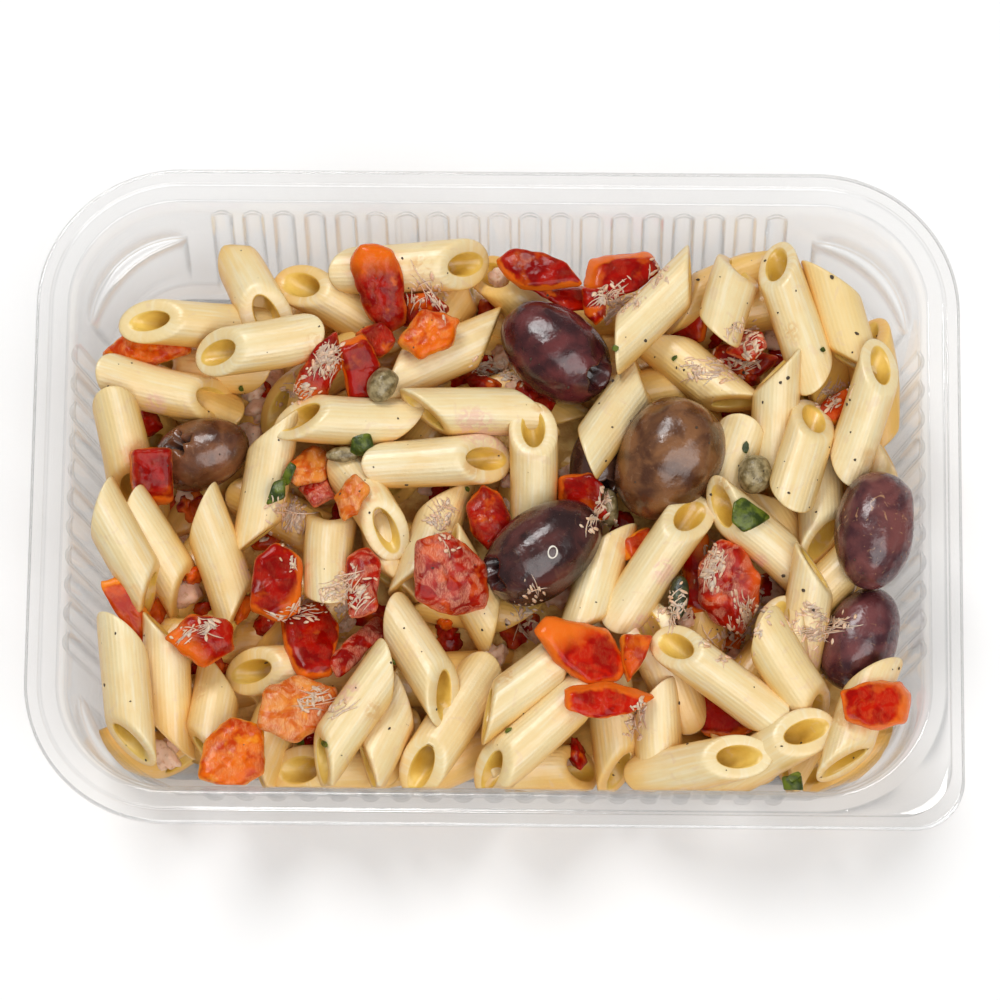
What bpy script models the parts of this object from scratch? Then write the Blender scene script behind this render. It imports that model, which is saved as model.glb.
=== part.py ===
"""Pasta salad in a clear tray: penne, olives, red pepper, capers and green leaves.

Lengths are millimetres and angles are degrees until a mesh is made, which is in metres. +X runs along the tray,
+Y to its far side and +Z up. The origin is in the middle of the tray's underside.
"""

import math
import random

import bmesh
import bpy
import numpy as np
from mathutils import Euler, Matrix, Vector

MM = 0.001
GAP = 0.3

# Tray
TRAY_LENGTH = 187.0
TRAY_WIDTH = 136.0
TRAY_HEIGHT = 36.0
WALL = 0.8
CORNER = 29.0
PEEL_CORNER = 10.0
BAND = 2.8
STEP = 0.5
LEDGE = 6.6
RIM_ROUND = 1.1
WALL_TOP_INSET = 8.0
WALL_TOP = 33.4
WALL_FOOT_INSET = 13.0
WALL_FOOT = 4.4
FLOOR_INSET = 16.0
CORNER_STEPS = 7
FLUTES = (11, 19, 11, 19)
FLUTE_PITCH = (6.0, 6.3, 6.0, 6.3)
FLUTE_WIDTH = 3.8
FLUTE_DEPTH = 1.1
FLUTE_TOP = 31.6

# Penne
PENNE_RADIUS = 5.0
BORE_WIDE = 2.25
BORE_HIGH = 2.95
PENNE_RUN = 10.5
PENNE_SIDES = 8
BORE_DEPTH = 8.0
STEM_LENGTH = 8.0
STEM_WIDTH = 4.4

# Toppings
OLIVE_SEGMENTS = 10
OLIVE_RINGS = 7
CAPER_SEGMENTS = 7
CAPER_RINGS = 5
PIT_RADIUS = 2.4
PIT_DEPTH = 5.0
THIN = 1.5

# How the salad lies: pieces press into each other a little, on a soft bed of hidden ones, below a ceiling
SOFT = 0.93
BED_DEPTH = 13.5
CEILING = 34.5
LOW_AIM = 14.0
HIGH_AIM = 31.0
STEEPEST = 0.45
SAMPLE_STEP = 2.6
NEAR = 4.0
PULL = 0.06
SIDEWAYS = 0.5
MOST_MOVE = 0.9
PRESSED = 1.2
STEPS = 300
CROSSING = 0.6
BURIED = 0.7
SLOWEST = 0.3
# Penne hang together where they press in this far; the others, and those that only toppings carry, get a stem
HOLD = 1.4
CARRIED_BY_TOPPINGS = ("17", "38")
# The mound's sides, each as the direction that it faces and its reach from the middle
MOUND_SIDES = (
    (0, 78.0), (40, 80.0), (90, 52.0), (127, 71.0),
    (180, 78.0), (220, 85.0), (270, 54.0), (322, 86.0),
)

# Places are judged from a viewpoint in front of the tray and above it, on a level plane through the salad
VIEWPOINT = (14.1, -297.2, 1126.3)
READING_LEVEL = 28.0

# A penne: centre x, y, heading of its first end, length, roll of that end's cut from facing up, whether
# its bore shows, and its tilt where it doesn't simply rest on what is below
# A chip: thickness and the corners of its outline. An olive: centre, heading, length, width, pit hole
PIECES = (
    ("penne", "06", (-60, 28.5, 0, 30, 180, False)),
    ("chip", "pepper_12", (5.0, (-79, 30), (-74, 35.5), (-64, 36), (-62, 31), (-70, 28))),
    ("penne", "04", (-67.5, 22.3, -13, 31, 0, True)),
    ("penne", "01", (-60, 38, 176, 33, 0, True)),
    ("penne", "02", (-50, 44.5, -60, 26, 0, True, 30)),
    ("penne", "03", (-47.5, 32.5, 191, 28, 0, True)),
    ("olive", "olive_6", (-59, 10.5, 200, 20, 14.5, True)),
    ("penne", "05", (-74.5, 11.5, -78, 28, 0, False)),
    ("chip", "pepper_11", (8.0, (-75, 10), (-67, 10.5), (-66.5, 0), (-74, -0.5))),
    ("penne", "08", (-47.5, 4, -98, 34, -90, False)),
    ("penne", "07", (-56, -12.5, -70, 33, -75, False)),
    ("penne", "11", (-68.5, -11, -58, 30, -45, True)),
    ("penne", "10", (-74, -9.5, -60, 31, -55, True)),
    ("chip", "pepper_19", (2.4, (-78.5, -17), (-74, -16), (-68, -25), (-69, -29), (-74, -24.5))),
    ("penne", "13", (-64.5, -38, -86, 32, 90, False)),
    ("penne", "12", (-73.5, -38, -84, 33, 60, True)),
    ("penne", "33", (-44, -50, -110, 24, 90, False)),
    ("penne", "14", (-57, -44, -98, 28, 90, False)),
    ("chip", "pepper_18", (4.0, (-65, -29), (-60, -24.5), (-53, -25.5), (-52, -31), (-58, -34.5))),
    ("chip", "pepper_20", (4.6, (-57, -50), (-52, -44.5), (-46, -46.5), (-45.5, -55), (-51, -58.5), (-57.5, -56))),
    ("penne", "32", (-31, -54.5, 180, 26, 0, True)),
    ("penne", "31", (-22, -47.5, -115, 28, 90, False)),
    ("penne", "34", (-7, -52.5, 25, 26, 90, False)),
    ("penne", "15", (-39.5, -34, 184, 29, 0, True)),
    ("chip", "pepper_16", (5.0, (-43, -24), (-35, -22), (-32, -27), (-33, -36), (-39, -37), (-42, -31))),
    ("chip", "pepper_17", (3.4, (-32, -32), (-23.5, -24), (-20.5, -26.5), (-30, -36))),
    ("chip", "pepper_21", (4.6, (-45, -40), (-39, -37), (-31.5, -40), (-33, -46), (-39, -50), (-46, -47))),
    ("penne", "30", (-9, -45, -123, 34, 10, True)),
    ("penne", "29", (-15, -32, -57, 30, -50, True)),
    ("penne", "27", (-21, -10, -80, 25, 90, False)),
    ("penne", "24", (-13.5, -8, 72, 30, -90, False)),
    ("penne", "26", (-33.5, -10, 88, 30, 0, True)),
    ("penne", "36", (-5, -19, -60, 28, -90, False)),
    ("chip", "pepper_14", (5.0, (-47, -12), (-43, -9), (-38.5, -12), (-39, -22), (-43, -24), (-48, -22))),
    ("chip", "pepper_15", (4.0, (-30.8, -12), (-27, -9.5), (-24.3, -12), (-25, -22), (-30, -23))),
    ("penne", "28", (-27.3, -43.5, -123, 33, 60, True)),
    ("chip", "pepper_33", (4.0, (-39, 3), (-34, 6), (-32, 1), (-36, -1))),
    ("chip", "pepper_13", (4.4, (-41.5, 7), (-37, 11), (-33.5, 9), (-34.5, 4), (-40, 3))),
    ("chip", "leaf_2", (0.8, (-44.5, 4), (-42, 9.5), (-40.5, 8.5), (-42, 4.5))),
    ("chip", "leaf_3", (0.8, (-47.5, -0.5), (-46, 4.5), (-43.5, 5.5), (-43.5, 1))),
    ("penne", "25", (-25, -1, -58, 26, 0, True, 22)),
    ("chip", "pepper_37", (3.6, (-31.5, 1), (-28, 5.5), (-25, 3), (-27, -2), (-30, -3.5))),
    ("penne", "23", (-13, 8.5, 4, 31, 10, True)),
    ("penne", "18", (-9, 41, 55, 25, 60, True)),
    ("penne", "16", (-33, 41, 149, 30, 0, True)),
    ("penne", "22", (4, 42, 135, 26, 0, True)),
    ("penne", "17", (-18.5, 49, 3, 34, 25, True)),
    ("chip", "pepper_02", (4.4, (-20, 44.5), (-14, 45.5), (-10.5, 42), (-12.5, 38.5), (-19, 38.5))),
    ("penne", "19", (-11, 31, 25, 34, 90, False)),
    ("chip", "pepper_01", (5.0, (-30, 52), (-27.5, 55), (-22, 54), (-20, 49), (-19, 40), (-23, 37), (-27, 42))),
    ("chip", "pepper_34", (4.2, (-28, 36), (-23, 38), (-20, 34.5), (-23, 31), (-27, 31.5))),
    ("chip", "pepper_03", (4.4, (-20, 34), (-15, 40.5), (-8, 38.5), (-9.5, 33), (-15.5, 30.5))),
    ("chip", "pepper_05", (5.0, (-42, 25), (-38, 33), (-34, 36), (-33, 29), (-36, 22.5), (-40, 22))),
    ("chip", "pepper_04", (4.4, (-33, 33), (-28, 35), (-25, 29), (-26.5, 23), (-31, 22.5))),
    ("penne", "20", (-29.5, 16.5, 178, 31.5, 35, True)),
    ("caper", "caper_1", (-24.3, 25, 60, 7.4, 5.8)),
    ("caper", "caper_4", (-30.5, 9.6, 5, 7, 3.2)),
    ("penne", "53", (55, 43, 17, 26, 0, True)),
    ("penne", "57", (68, 26, 60, 28, 90, False)),
    ("penne", "54", (76, 25, 96, 30, -40, True)),
    ("penne", "56", (75, 4, 75, 28, 90, False)),
    ("penne", "63", (59, -6, -60, 28, 90, False)),
    ("penne", "71", (66, -16, 45, 28, 90, False)),
    ("penne", "62", (66, 0, -88, 28, -60, True)),
    ("penne", "73", (19, -25, 60, 28, 90, False)),
    ("penne", "72", (61, -48, 60, 26, 90, False)),
    ("chip", "pepper_10", (4.0, (64, 20.5), (66, 22.5), (70.5, 25), (69.5, 20), (67.5, 17.5))),
    ("chip", "pepper_30", (4.0, (40, -3), (43.5, -8), (42, -19), (45, -24), (39, -22), (38.5, -12))),
    ("chip", "pepper_32", (4.0, (38, -38), (43, -39), (52, -45), (47, -47.5), (41, -47), (39.5, -43))),
    ("chip", "pepper_08", (4.0, (34, 36), (38, 33), (41, 34.5), (42, 41.5), (39, 41))),
    ("olive", "olive_7", (21.5, 8, 80, 17, 12, False)),
    ("caper", "caper_7", (22, 0, 95, 8, 4)),
    ("penne", "42", (21.1, -17.5, 74, 32, -90, False)),
    ("chip", "pepper_24", (4.4, (12.7, 4.5), (18.5, 5.5), (21, 3), (20.5, 0), (22.3, -3.5), (17, -4), (13, 0))),
    ("chip", "pepper_28", (4.0, (25, -6.5), (30, -4), (31, -7), (26, -11))),
    ("chip", "pepper_09", (4.6, (42, 29), (44.5, 33), (50, 32.5), (56, 30.5), (53, 27.5), (49, 25), (45.5, 26))),
    ("chip", "pepper_35", (4.2, (46, 33), (48.5, 37.5), (53, 37), (53.5, 34), (51, 31))),
    ("penne", "39", (41, 26.8, -40, 31, 90, False)),
    ("penne", "52", (70, 38, 105, 30, 90, False)),
    ("penne", "50", (46, 43.5, 72, 27, 30, True)),
    ("penne", "38", (23, 18.5, 54, 33, 55, True)),
    ("olive", "olive_1", (12.5, 32, -40, 24.5, 18, True)),
    ("chip", "pepper_36", (3.6, (5, 45.5), (10, 45), (19, 45), (19.5, 40.5), (14, 40.5), (9, 43))),
    ("chip", "pepper_07", (4.4, (17.3, 46), (18.5, 51), (23, 52), (30, 52.6), (31.5, 49.5), (27, 45.5), (22, 43.5))),
    ("chip", "pepper_38", (4.0, (17.5, 46), (22.5, 45), (22, 40), (20, 38.5), (18, 41))),
    ("chip", "pepper_06", (3.4, (0, 50.5), (3, 52.8), (8, 52), (13, 50), (16.5, 46), (10, 45), (5, 45), (2, 47.5))),
    ("penne", "37", (31, 40.5, 45, 32.5, 75, False)),
    ("penne", "21", (-3, 20, 0, 34, -90, False)),
    ("chip", "leaf_1", (0.8, (-30, 11), (-29.5, 15.5), (-26, 15.7), (-25, 12.5), (-27.5, 10.5))),
    ("penne", "41", (8, 4.5, 90, 32, 0, True)),
    ("penne", "51", (61, 39, 108, 34, -30, True)),
    ("penne", "58", (55.5, 17, 87, 33, -90, False)),
    ("penne", "59", (46.5, 7.5, 72, 27, 180, False)),
    ("caper", "caper_2", (51.5, 6, 80, 8, 7)),
    ("penne", "60", (61, 11, 74, 27, 20, False)),
    ("penne", "55", (74.3, 19.2, 71, 31, 30, True)),
    ("olive", "olive_2", (35.5, 9, 62, 26, 21, False)),
    ("chip", "pepper_22", (5.0, (-15, -8), (-9, -6), (-2, -12), (-1.5, -20), (-8, -22), (-15, -19))),
    ("chip", "pepper_23", (4.6, (-5, 0), (-2, 4), (1.5, 2), (3.5, -3), (-0.5, -9), (-4, -5))),
    ("olive", "olive_3", (9.5, -9, 218, 26, 18, True)),
    ("caper", "caper_6", (37.6, -19.5, 85, 9, 4)),
    ("penne", "43", (31.5, -12, 56, 34, 0, True)),
    ("penne", "61", (53.5, -6.3, 139, 29.5, -60, True)),
    ("chip", "leaf_4", (1.0, (47, 1), (49, 2.3), (54.8, -2), (52, -4), (49, -5.3), (46.7, -3))),
    ("chip", "pepper_29", (6.5, (46, -7), (50, -8.5), (53, -14), (53, -19), (50, -25), (45, -23), (42, -19), (42, -12))),
    ("penne", "64", (62, -22, -100, 28, 90, False)),
    ("penne", "65", (59, -33, 100, 28, -30, True)),
    ("penne", "66", (59, -34, -57, 30, -30, False)),
    ("penne", "48", (33.5, -34, -67, 30, 180, False)),
    ("penne", "45", (11, -54.5, 3, 26, 0, True, -15)),
    ("penne", "46", (25, -47, -82, 27, -45, True, -12)),
    ("penne", "47", (33.5, -48.5, -85, 25, -50, True, -12)),
    ("caper", "caper_8", (10.5, -40.5, 30, 6.5, 5)),
    ("penne", "35", (7.5, -37, 218, 31, 80, False)),
    ("penne", "44", (9, -49.5, 222, 35, 30, True)),
    ("chip", "pepper_25", (4.8, (8, -27), (10.5, -24), (21.5, -26.5), (25, -33), (23.5, -36.3), (17.5, -37), (12, -33))),
    ("chip", "pepper_27", (4.4, (25.5, -26.5), (31.5, -26.5), (30, -31), (27, -35.6), (25.8, -32))),
    ("chip", "pepper_26", (4.4, (14, -38.2), (22, -36.9), (30.7, -39.5), (27, -42.2), (20, -43.7), (14, -42))),
    ("penne", "49", (46, -36, 142, 32.5, 0, True)),
    ("penne", "68", (53.6, -52, 30, 31, 0, True, 30)),
    ("penne", "69", (40.5, -53.9, 12, 31, 0, True, 35)),
    ("chip", "leaf_8", (1.0, (57, -55), (61, -54.5), (61.5, -58), (57.5, -58))),
    ("olive", "olive_5", (72.5, -27.5, 248, 22, 15, False)),
    ("olive", "olive_4", (75.5, -5, 82, 24.5, 16.5, False)),
    ("penne", "70", (73, -43, -108, 31, -75, True)),
    ("chip", "pepper_31", (4.8, (69, -38.5), (75, -36.5), (80, -36.8), (82, -39), (81, -44.5), (75, -45.8), (70, -44))),
)

COLOURS = {
    "tray": ((0.92, 0.94, 0.95), 0.12),
    "penne_heap": ((0.86, 0.74, 0.46), 0.35),
    "olive": ((0.10, 0.035, 0.045), 0.25),
    "pepper": ((0.62, 0.05, 0.012), 0.25),
    "caper": ((0.14, 0.15, 0.06), 0.4),
    "leaf": ((0.07, 0.13, 0.02), 0.4),
}


def clear_scene():
    for item in list(bpy.data.objects):
        bpy.data.objects.remove(item, do_unlink=True)


def material_for(name):
    kind = name if name in COLOURS else name.split("_")[0]
    material = bpy.data.materials.get(kind)
    if material:
        return material
    colour, roughness = COLOURS[kind]
    material = bpy.data.materials.new(kind)
    material.use_nodes = True
    shader = material.node_tree.nodes["Principled BSDF"]
    shader.inputs["Base Color"].default_value = (*colour, 1.0)
    shader.inputs["Roughness"].default_value = roughness
    shader.inputs["Metallic"].default_value = 0.0
    if kind == "tray":
        shader.inputs["Transmission Weight"].default_value = 1.0
    return material


def add_object(name, bm, collection=None):
    """An object from a bmesh in millimetres, with its faces pointing outwards."""
    bmesh.ops.recalc_face_normals(bm, faces=bm.faces)
    if bm.calc_volume(signed=True) < 0:
        bmesh.ops.reverse_faces(bm, faces=bm.faces)
    bmesh.ops.scale(bm, vec=(MM, MM, MM), verts=bm.verts)
    mesh = bpy.data.meshes.new(name)
    bm.to_mesh(mesh)
    bm.free()
    item = bpy.data.objects.new(name, mesh)
    (collection or bpy.context.scene.collection).objects.link(item)
    return item


# Tray


def corner_radius(inset, corner):
    """The near right corner of the flange, where the film is peeled from, is squarer than the others."""
    if corner == 0 and inset < BAND:
        return PEEL_CORNER
    return CORNER - inset


def tray_ring(inset, z, fluted):
    """Points of one level of the tray, anticlockwise from the near right corner, each with its place round it."""
    half = (TRAY_LENGTH / 2 - inset, TRAY_WIDTH / 2 - inset)
    points = []
    signs = ((1, -1), (1, 1), (-1, 1), (-1, -1))
    for corner, (sign_x, sign_y) in enumerate(signs):
        radius = corner_radius(inset, corner)
        middle = Vector((sign_x * (half[0] - radius), sign_y * (half[1] - radius)))
        for step in range(CORNER_STEPS + 1):
            angle = math.radians(90.0 * (corner - 1 + step / CORNER_STEPS))
            point = middle + radius * Vector((math.cos(angle), math.sin(angle)))
            points.append((2 * corner + step / CORNER_STEPS, (point.x, point.y, z)))
        if not fluted:
            continue
        out = Vector((math.cos(math.radians(90 * corner)), math.sin(math.radians(90 * corner))))
        along = Vector((-out.y, out.x))
        reach = half[corner % 2]
        straight = half[1 - corner % 2] - (CORNER - inset)
        for flute in range(FLUTES[corner]):
            middle_of_flute = (flute - (FLUTES[corner] - 1) / 2) * FLUTE_PITCH[corner]
            for side, depth in ((-0.5, 0.0), (0.0, FLUTE_DEPTH), (0.5, 0.0)):
                place = middle_of_flute + side * FLUTE_WIDTH
                point = along * place + out * (reach + depth)
                share = 0.5 + 0.5 * place / straight
                points.append((2 * corner + 1 + min(max(share, 0.01), 0.99), (point.x, point.y, z)))
    return points


def join_rings(bm, lower, upper):
    """Triangles between two closed rings that may have unlike numbers of points."""
    i, j = 0, 0
    while i < len(lower) or j < len(upper):
        next_i = lower[i + 1][0] if i + 1 < len(lower) else 8.0 + (i >= len(lower))
        next_j = upper[j + 1][0] if j + 1 < len(upper) else 8.0 + (j >= len(upper))
        a = lower[i % len(lower)][1]
        b = upper[j % len(upper)][1]
        if next_i <= next_j:
            bm.faces.new((a, lower[(i + 1) % len(lower)][1], b))
            i += 1
        else:
            bm.faces.new((a, upper[(j + 1) % len(upper)][1], b))
            j += 1


def offset_profile(profile, distance):
    """The same profile, one distance to its outside, towards the underside."""
    moved = []
    for index, (inset, z, fluted) in enumerate(profile):
        before = profile[max(index - 1, 0)]
        after = profile[min(index + 1, len(profile) - 1)]
        first = Vector((inset - before[0], z - before[1]))
        second = Vector((after[0] - inset, after[1] - z))
        normals = [Vector((edge.y, -edge.x)).normalized() for edge in (first, second) if edge.length > 0]
        normal = (normals[0] + normals[-1]).normalized()
        reach = distance / max(normal.dot(normals[0]), 0.5)
        moved.append((inset + normal.x * reach, z + normal.y * reach, fluted))
    return moved


def make_tray():
    top = TRAY_HEIGHT
    low = top - STEP
    inside = [
        (0.0, top, False),
        (BAND, top, False),
        (BAND + STEP, low, False),
        (LEDGE, low, False),
        (LEDGE + RIM_ROUND, low - RIM_ROUND, False),
        (WALL_TOP_INSET, WALL_TOP, False),
        (WALL_TOP_INSET + 0.3, FLUTE_TOP, True),
        (WALL_FOOT_INSET, WALL_FOOT, True),
        (WALL_FOOT_INSET + 0.9, WALL + 1.0, False),
        (FLOOR_INSET, WALL, False),
    ]
    outside = offset_profile(inside, WALL)
    outside[0] = (0.0, top - WALL, False)
    outside[-1] = (FLOOR_INSET, 0.0, False)
    bm = bmesh.new()
    rings = []
    for inset, z, fluted in inside + outside[::-1]:
        rings.append([(place, bm.verts.new(point)) for place, point in tray_ring(inset, z, fluted)])
    for upper, lower in zip(rings, rings[1:]):
        if upper is rings[len(inside) - 1]:
            bm.faces.new([vert for _, vert in upper])
            bm.faces.new([vert for _, vert in lower])
        else:
            join_rings(bm, lower, upper)
    join_rings(bm, rings[0], rings[-1])
    return add_object("tray", bm)


def inner_wall(z):
    """The inset of the tray's inner wall at a height."""
    share = np.clip((z - WALL_FOOT) / (WALL_TOP - WALL_FOOT), 0.0, 1.0)
    foot = np.clip(1.0 - (z - WALL) / (WALL_FOOT - WALL), 0.0, 1.0) * (FLOOR_INSET - WALL_FOOT_INSET)
    return WALL_FOOT_INSET + share * (WALL_TOP_INSET - WALL_FOOT_INSET) + foot


def press_to_wall(bm):
    """Flattens what would reach through the tray's wall or floor against it."""
    for vert in bm.verts:
        vert.co.z = max(vert.co.z, WALL + GAP)
        corner = CORNER - inner_wall(vert.co.z)
        core = (TRAY_LENGTH / 2 - CORNER, TRAY_WIDTH / 2 - CORNER)
        over = Vector([max(abs(vert.co[axis]) - core[axis], 0.0) for axis in (0, 1)])
        outside = over.length + 2 * GAP - corner
        if outside > 0:
            for axis in (0, 1):
                vert.co[axis] -= math.copysign(outside * over[axis] / over.length, vert.co[axis])


# How the pieces lie


def sight(x, y, z):
    """Where a point seen at x, y on the reading level lies if its height is z."""
    share = (z - READING_LEVEL) / (VIEWPOINT[2] - READING_LEVEL)
    return x + (VIEWPOINT[0] - x) * share, y + (VIEWPOINT[1] - y) * share


def bed_height(x, y):
    """The top of the hidden salad, which falls off to the mound's sides."""
    edge = 0.0
    for direction, reach in MOUND_SIDES:
        angle = math.radians(direction)
        edge = np.maximum(edge, (x * math.cos(angle) + y * math.sin(angle)) / reach)
    return WALL + BED_DEPTH * np.maximum(0.0, 1.0 - edge**6)


def inside_outline(x, y, outline):
    inside = False
    for (ax, ay), (bx, by) in zip(outline, outline[1:] + outline[:1]):
        if (ay > y) != (by > y) and x < ax + (y - ay) * (bx - ax) / (by - ay):
            inside = not inside
    return inside


def rod_spheres(x, y, heading, half, width, length):
    """Spheres along a rod: an olive's or caper's get smaller to its ends."""
    places = np.linspace(-half, half, max(3, round(2 * half / SAMPLE_STEP) + 1))
    flat = np.array([math.cos(math.radians(heading)), math.sin(math.radians(heading))])
    shares = np.ones(len(places)) if length is None else np.sqrt(1 - (2 * places / length) ** 2)
    return np.array([x, y]), np.outer(places, flat), shares * width / 2, flat


def chip_spheres(thickness, outline):
    """Spheres over a flat piece's outline."""
    outline = [tuple(corner) for corner in outline]
    middle = np.mean(outline, axis=0)
    shrunk = [tuple(middle + 0.8 * (np.array(corner) - middle)) for corner in outline]
    low, high = np.min(outline, axis=0), np.max(outline, axis=0)
    places = [np.array(corner) - middle for corner in shrunk]
    for x in np.arange(low[0], high[0], SAMPLE_STEP):
        for y in np.arange(low[1], high[1], SAMPLE_STEP):
            if inside_outline(x, y, shrunk):
                places.append(np.array([x, y]) - middle)
    return middle, np.array(places), np.full(len(places), thickness / 2), None


class Salad:
    """All pieces as spheres on rigid rods and plates, in the order in which they lie on each other."""

    def __init__(self, pieces):
        parts = []
        self.fixed = np.full(len(pieces), np.nan)
        for index, (kind, _, values) in enumerate(pieces):
            if kind == "penne":
                x, y, heading, length = values[:4]
                half = (length - PENNE_RUN) / 2
                parts.append(rod_spheres(x, y, heading, half, 2 * PENNE_RADIUS, None))
                if len(values) > 6:
                    self.fixed[index] = math.tan(math.radians(values[6]))
            elif kind == "chip":
                parts.append(chip_spheres(values[0], values[1:]))
            else:
                x, y, heading, length, width = values[:5]
                parts.append(rod_spheres(x, y, heading, length * 0.4, width, length))
        count = len(parts)
        self.home = np.array([part[0] for part in parts])
        self.owner = np.concatenate([np.full(len(part[1]), index) for index, part in enumerate(parts)])
        self.offsets = np.concatenate([part[1] for part in parts])
        self.radii = np.concatenate([part[2] for part in parts])
        self.size = np.bincount(self.owner, minlength=count)
        self.axis = np.array([(0.0, 0.0) if part[3] is None else part[3] for part in parts])
        self.rod = np.array([part[3] is not None for part in parts])
        self.move = np.zeros((count, 2))
        self.height = np.full(count, READING_LEVEL)
        self.slope = np.zeros((count, 2))
        tilted = ~np.isnan(self.fixed)
        self.slope[tilted] = self.axis[tilted] * self.fixed[tilted, None]
        self.pairs = self.neighbours()
        self.aim = self.aims()

    def spread(self):
        """The offsets of the spheres seen from above, shorter where their piece is tilted."""
        return self.offsets / np.sqrt(1 + (self.slope**2).sum(axis=1))[self.owner, None]

    def heights(self):
        return self.height[self.owner] + (self.slope[self.owner] * self.spread()).sum(axis=1)

    def plan(self):
        """Every sphere's place seen from above."""
        seen = self.home[self.owner] + self.spread()
        return np.column_stack(sight(seen[:, 0], seen[:, 1], self.heights())) + self.move[self.owner]

    def neighbours(self):
        """Pairs of spheres of two pieces that can touch, the upper piece's first."""
        plan = self.plan()
        apart = np.hypot(*(plan[:, None] - plan[None]).transpose(2, 0, 1))
        near = apart < self.radii[:, None] + self.radii[None] + NEAR
        upper, lower = np.nonzero(near & (self.owner[:, None] > self.owner[None]))
        return upper, lower

    def aims(self):
        """The height that each piece tends to: the more of its neighbours lie under it, the higher."""
        plan = self.plan()
        upper, lower = self.pairs
        apart = np.hypot(*(plan[upper] - plan[lower]).T)
        crossing = apart < CROSSING * (self.radii[upper] + self.radii[lower])
        links = set(zip(self.owner[upper[crossing]], self.owner[lower[crossing]]))
        below = np.bincount([link[0] for link in links], minlength=len(self.home))
        above = np.bincount([link[1] for link in links], minlength=len(self.home))
        share = (below + 1.0) / (below + above + 2.0)
        return LOW_AIM + (HIGH_AIM - LOW_AIM) * share

    def per_piece(self, owners, values):
        return np.bincount(owners, weights=values, minlength=len(self.home))

    def press(self, share):
        """One step of pushing pieces off each other, with the order kept, and letting them sink."""
        plan, heights = self.plan(), self.heights()
        upper, lower = self.pairs
        between = plan[upper] - plan[lower]
        apart = np.maximum(np.hypot(*between.T), 1e-6)
        reach = SOFT * (self.radii[upper] + self.radii[lower])
        needed = np.sqrt(np.maximum(reach**2 - apart**2, 0.0))
        short = np.clip(needed - (heights[upper] - heights[lower]), 0.0, reach)
        short[apart >= reach] = 0.0
        spheres = len(self.owner)
        lift = np.zeros(spheres)
        for index, sign in ((upper, 0.5), (lower, -0.5)):
            total = np.bincount(index, weights=short, minlength=spheres)
            touches = np.bincount(index, weights=short > 0, minlength=spheres)
            lift += sign * total / np.maximum(touches, 1)
        bed = bed_height(plan[:, 0], plan[:, 1]) + BURIED * self.radii
        lift = np.maximum(lift, bed - heights)
        rise = self.per_piece(self.owner, lift) / self.size
        self.height += share * (rise + PULL * (self.aim - self.height))
        for axis in (0, 1):
            arm = self.offsets[:, axis]
            turn = self.per_piece(self.owner, lift * arm)
            inertia = self.per_piece(self.owner, (self.offsets**2).sum(axis=1)) / np.where(self.rod, 1, 2)
            self.slope[:, axis] += share * turn / np.maximum(inertia, 1e-6)
        along = (self.slope * self.axis).sum(axis=1)[:, None] * self.axis
        self.slope = np.where(self.rod[:, None], along, self.slope) * (1 - 0.5 * PULL)
        steep = np.maximum(np.hypot(*self.slope.T) / STEEPEST, 1.0)
        self.slope /= steep[:, None]
        tilted = ~np.isnan(self.fixed)
        self.slope[tilted] = self.axis[tilted] * self.fixed[tilted, None]
        sideways = between / apart[:, None] * (short * apart / reach)[:, None]
        for axis in (0, 1):
            push = self.per_piece(self.owner[upper], sideways[:, axis])
            push -= self.per_piece(self.owner[lower], sideways[:, axis])
            touches = self.per_piece(self.owner[upper], short > 0) + self.per_piece(self.owner[lower], short > 0)
            self.move[:, axis] += share * SIDEWAYS * push / np.maximum(touches, 1)
        far = np.maximum(np.hypot(*self.move.T) / MOST_MOVE, 1.0)
        self.move /= far[:, None]
        tips = self.per_piece_top()
        self.height -= np.maximum(tips - CEILING, 0.0)

    def per_piece_top(self):
        tops = np.full(len(self.home), -np.inf)
        np.maximum.at(tops, self.owner, self.heights() + self.radii)
        return tops

    def keep_off_walls(self):
        """Moves each piece sideways until its spheres clear the tray's wall."""
        for _ in range(3):
            plan, heights = self.plan(), self.heights()
            inset = inner_wall(heights)
            corner = CORNER - inset
            core = np.column_stack([TRAY_LENGTH / 2 - CORNER + 0 * inset, TRAY_WIDTH / 2 - CORNER + 0 * inset])
            over = np.maximum(np.abs(plan) - core, 0.0)
            reach = np.hypot(*over.T)
            outside = np.maximum(reach + self.radii - PRESSED - corner, 0.0)
            outside[reach == 0] = 0.0
            push = -np.sign(plan) * over / np.maximum(reach, 1e-6)[:, None] * outside[:, None]
            for index in np.unique(self.owner[outside > 0]):
                mine = np.nonzero(self.owner == index)[0]
                self.move[index] += push[mine[outside[mine].argmax()]]

    def settle(self):
        for step in range(STEPS):
            self.press(1.0 - (1.0 - SLOWEST) * step / STEPS)
            if step % 10 == 9:
                self.keep_off_walls()

    def held(self):
        """The penne that lie in the bed or hang together with one that does."""
        plan, heights = self.plan(), self.heights()
        penne = np.array([kind == "penne" for kind, _, _ in PIECES])[self.owner]
        sunk = heights - self.radii < bed_height(plan[:, 0], plan[:, 1]) - HOLD
        found = set(self.owner[sunk & penne])
        upper, lower = self.pairs
        apart = np.sqrt(((plan[upper] - plan[lower])**2).sum(axis=1) + (heights[upper] - heights[lower])**2)
        fused = (apart < self.radii[upper] + self.radii[lower] - HOLD) & penne[upper] & penne[lower]
        links = set(zip(self.owner[upper[fused]], self.owner[lower[fused]]))
        grown = True
        while grown:
            more = {piece for link in links for piece in link if found & set(link)} - found
            found |= more
            grown = bool(more)
        return found

    def middle(self, index):
        x, y = sight(*self.home[index], self.height[index])
        return Vector((x + self.move[index][0], y + self.move[index][1], self.height[index]))

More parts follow.
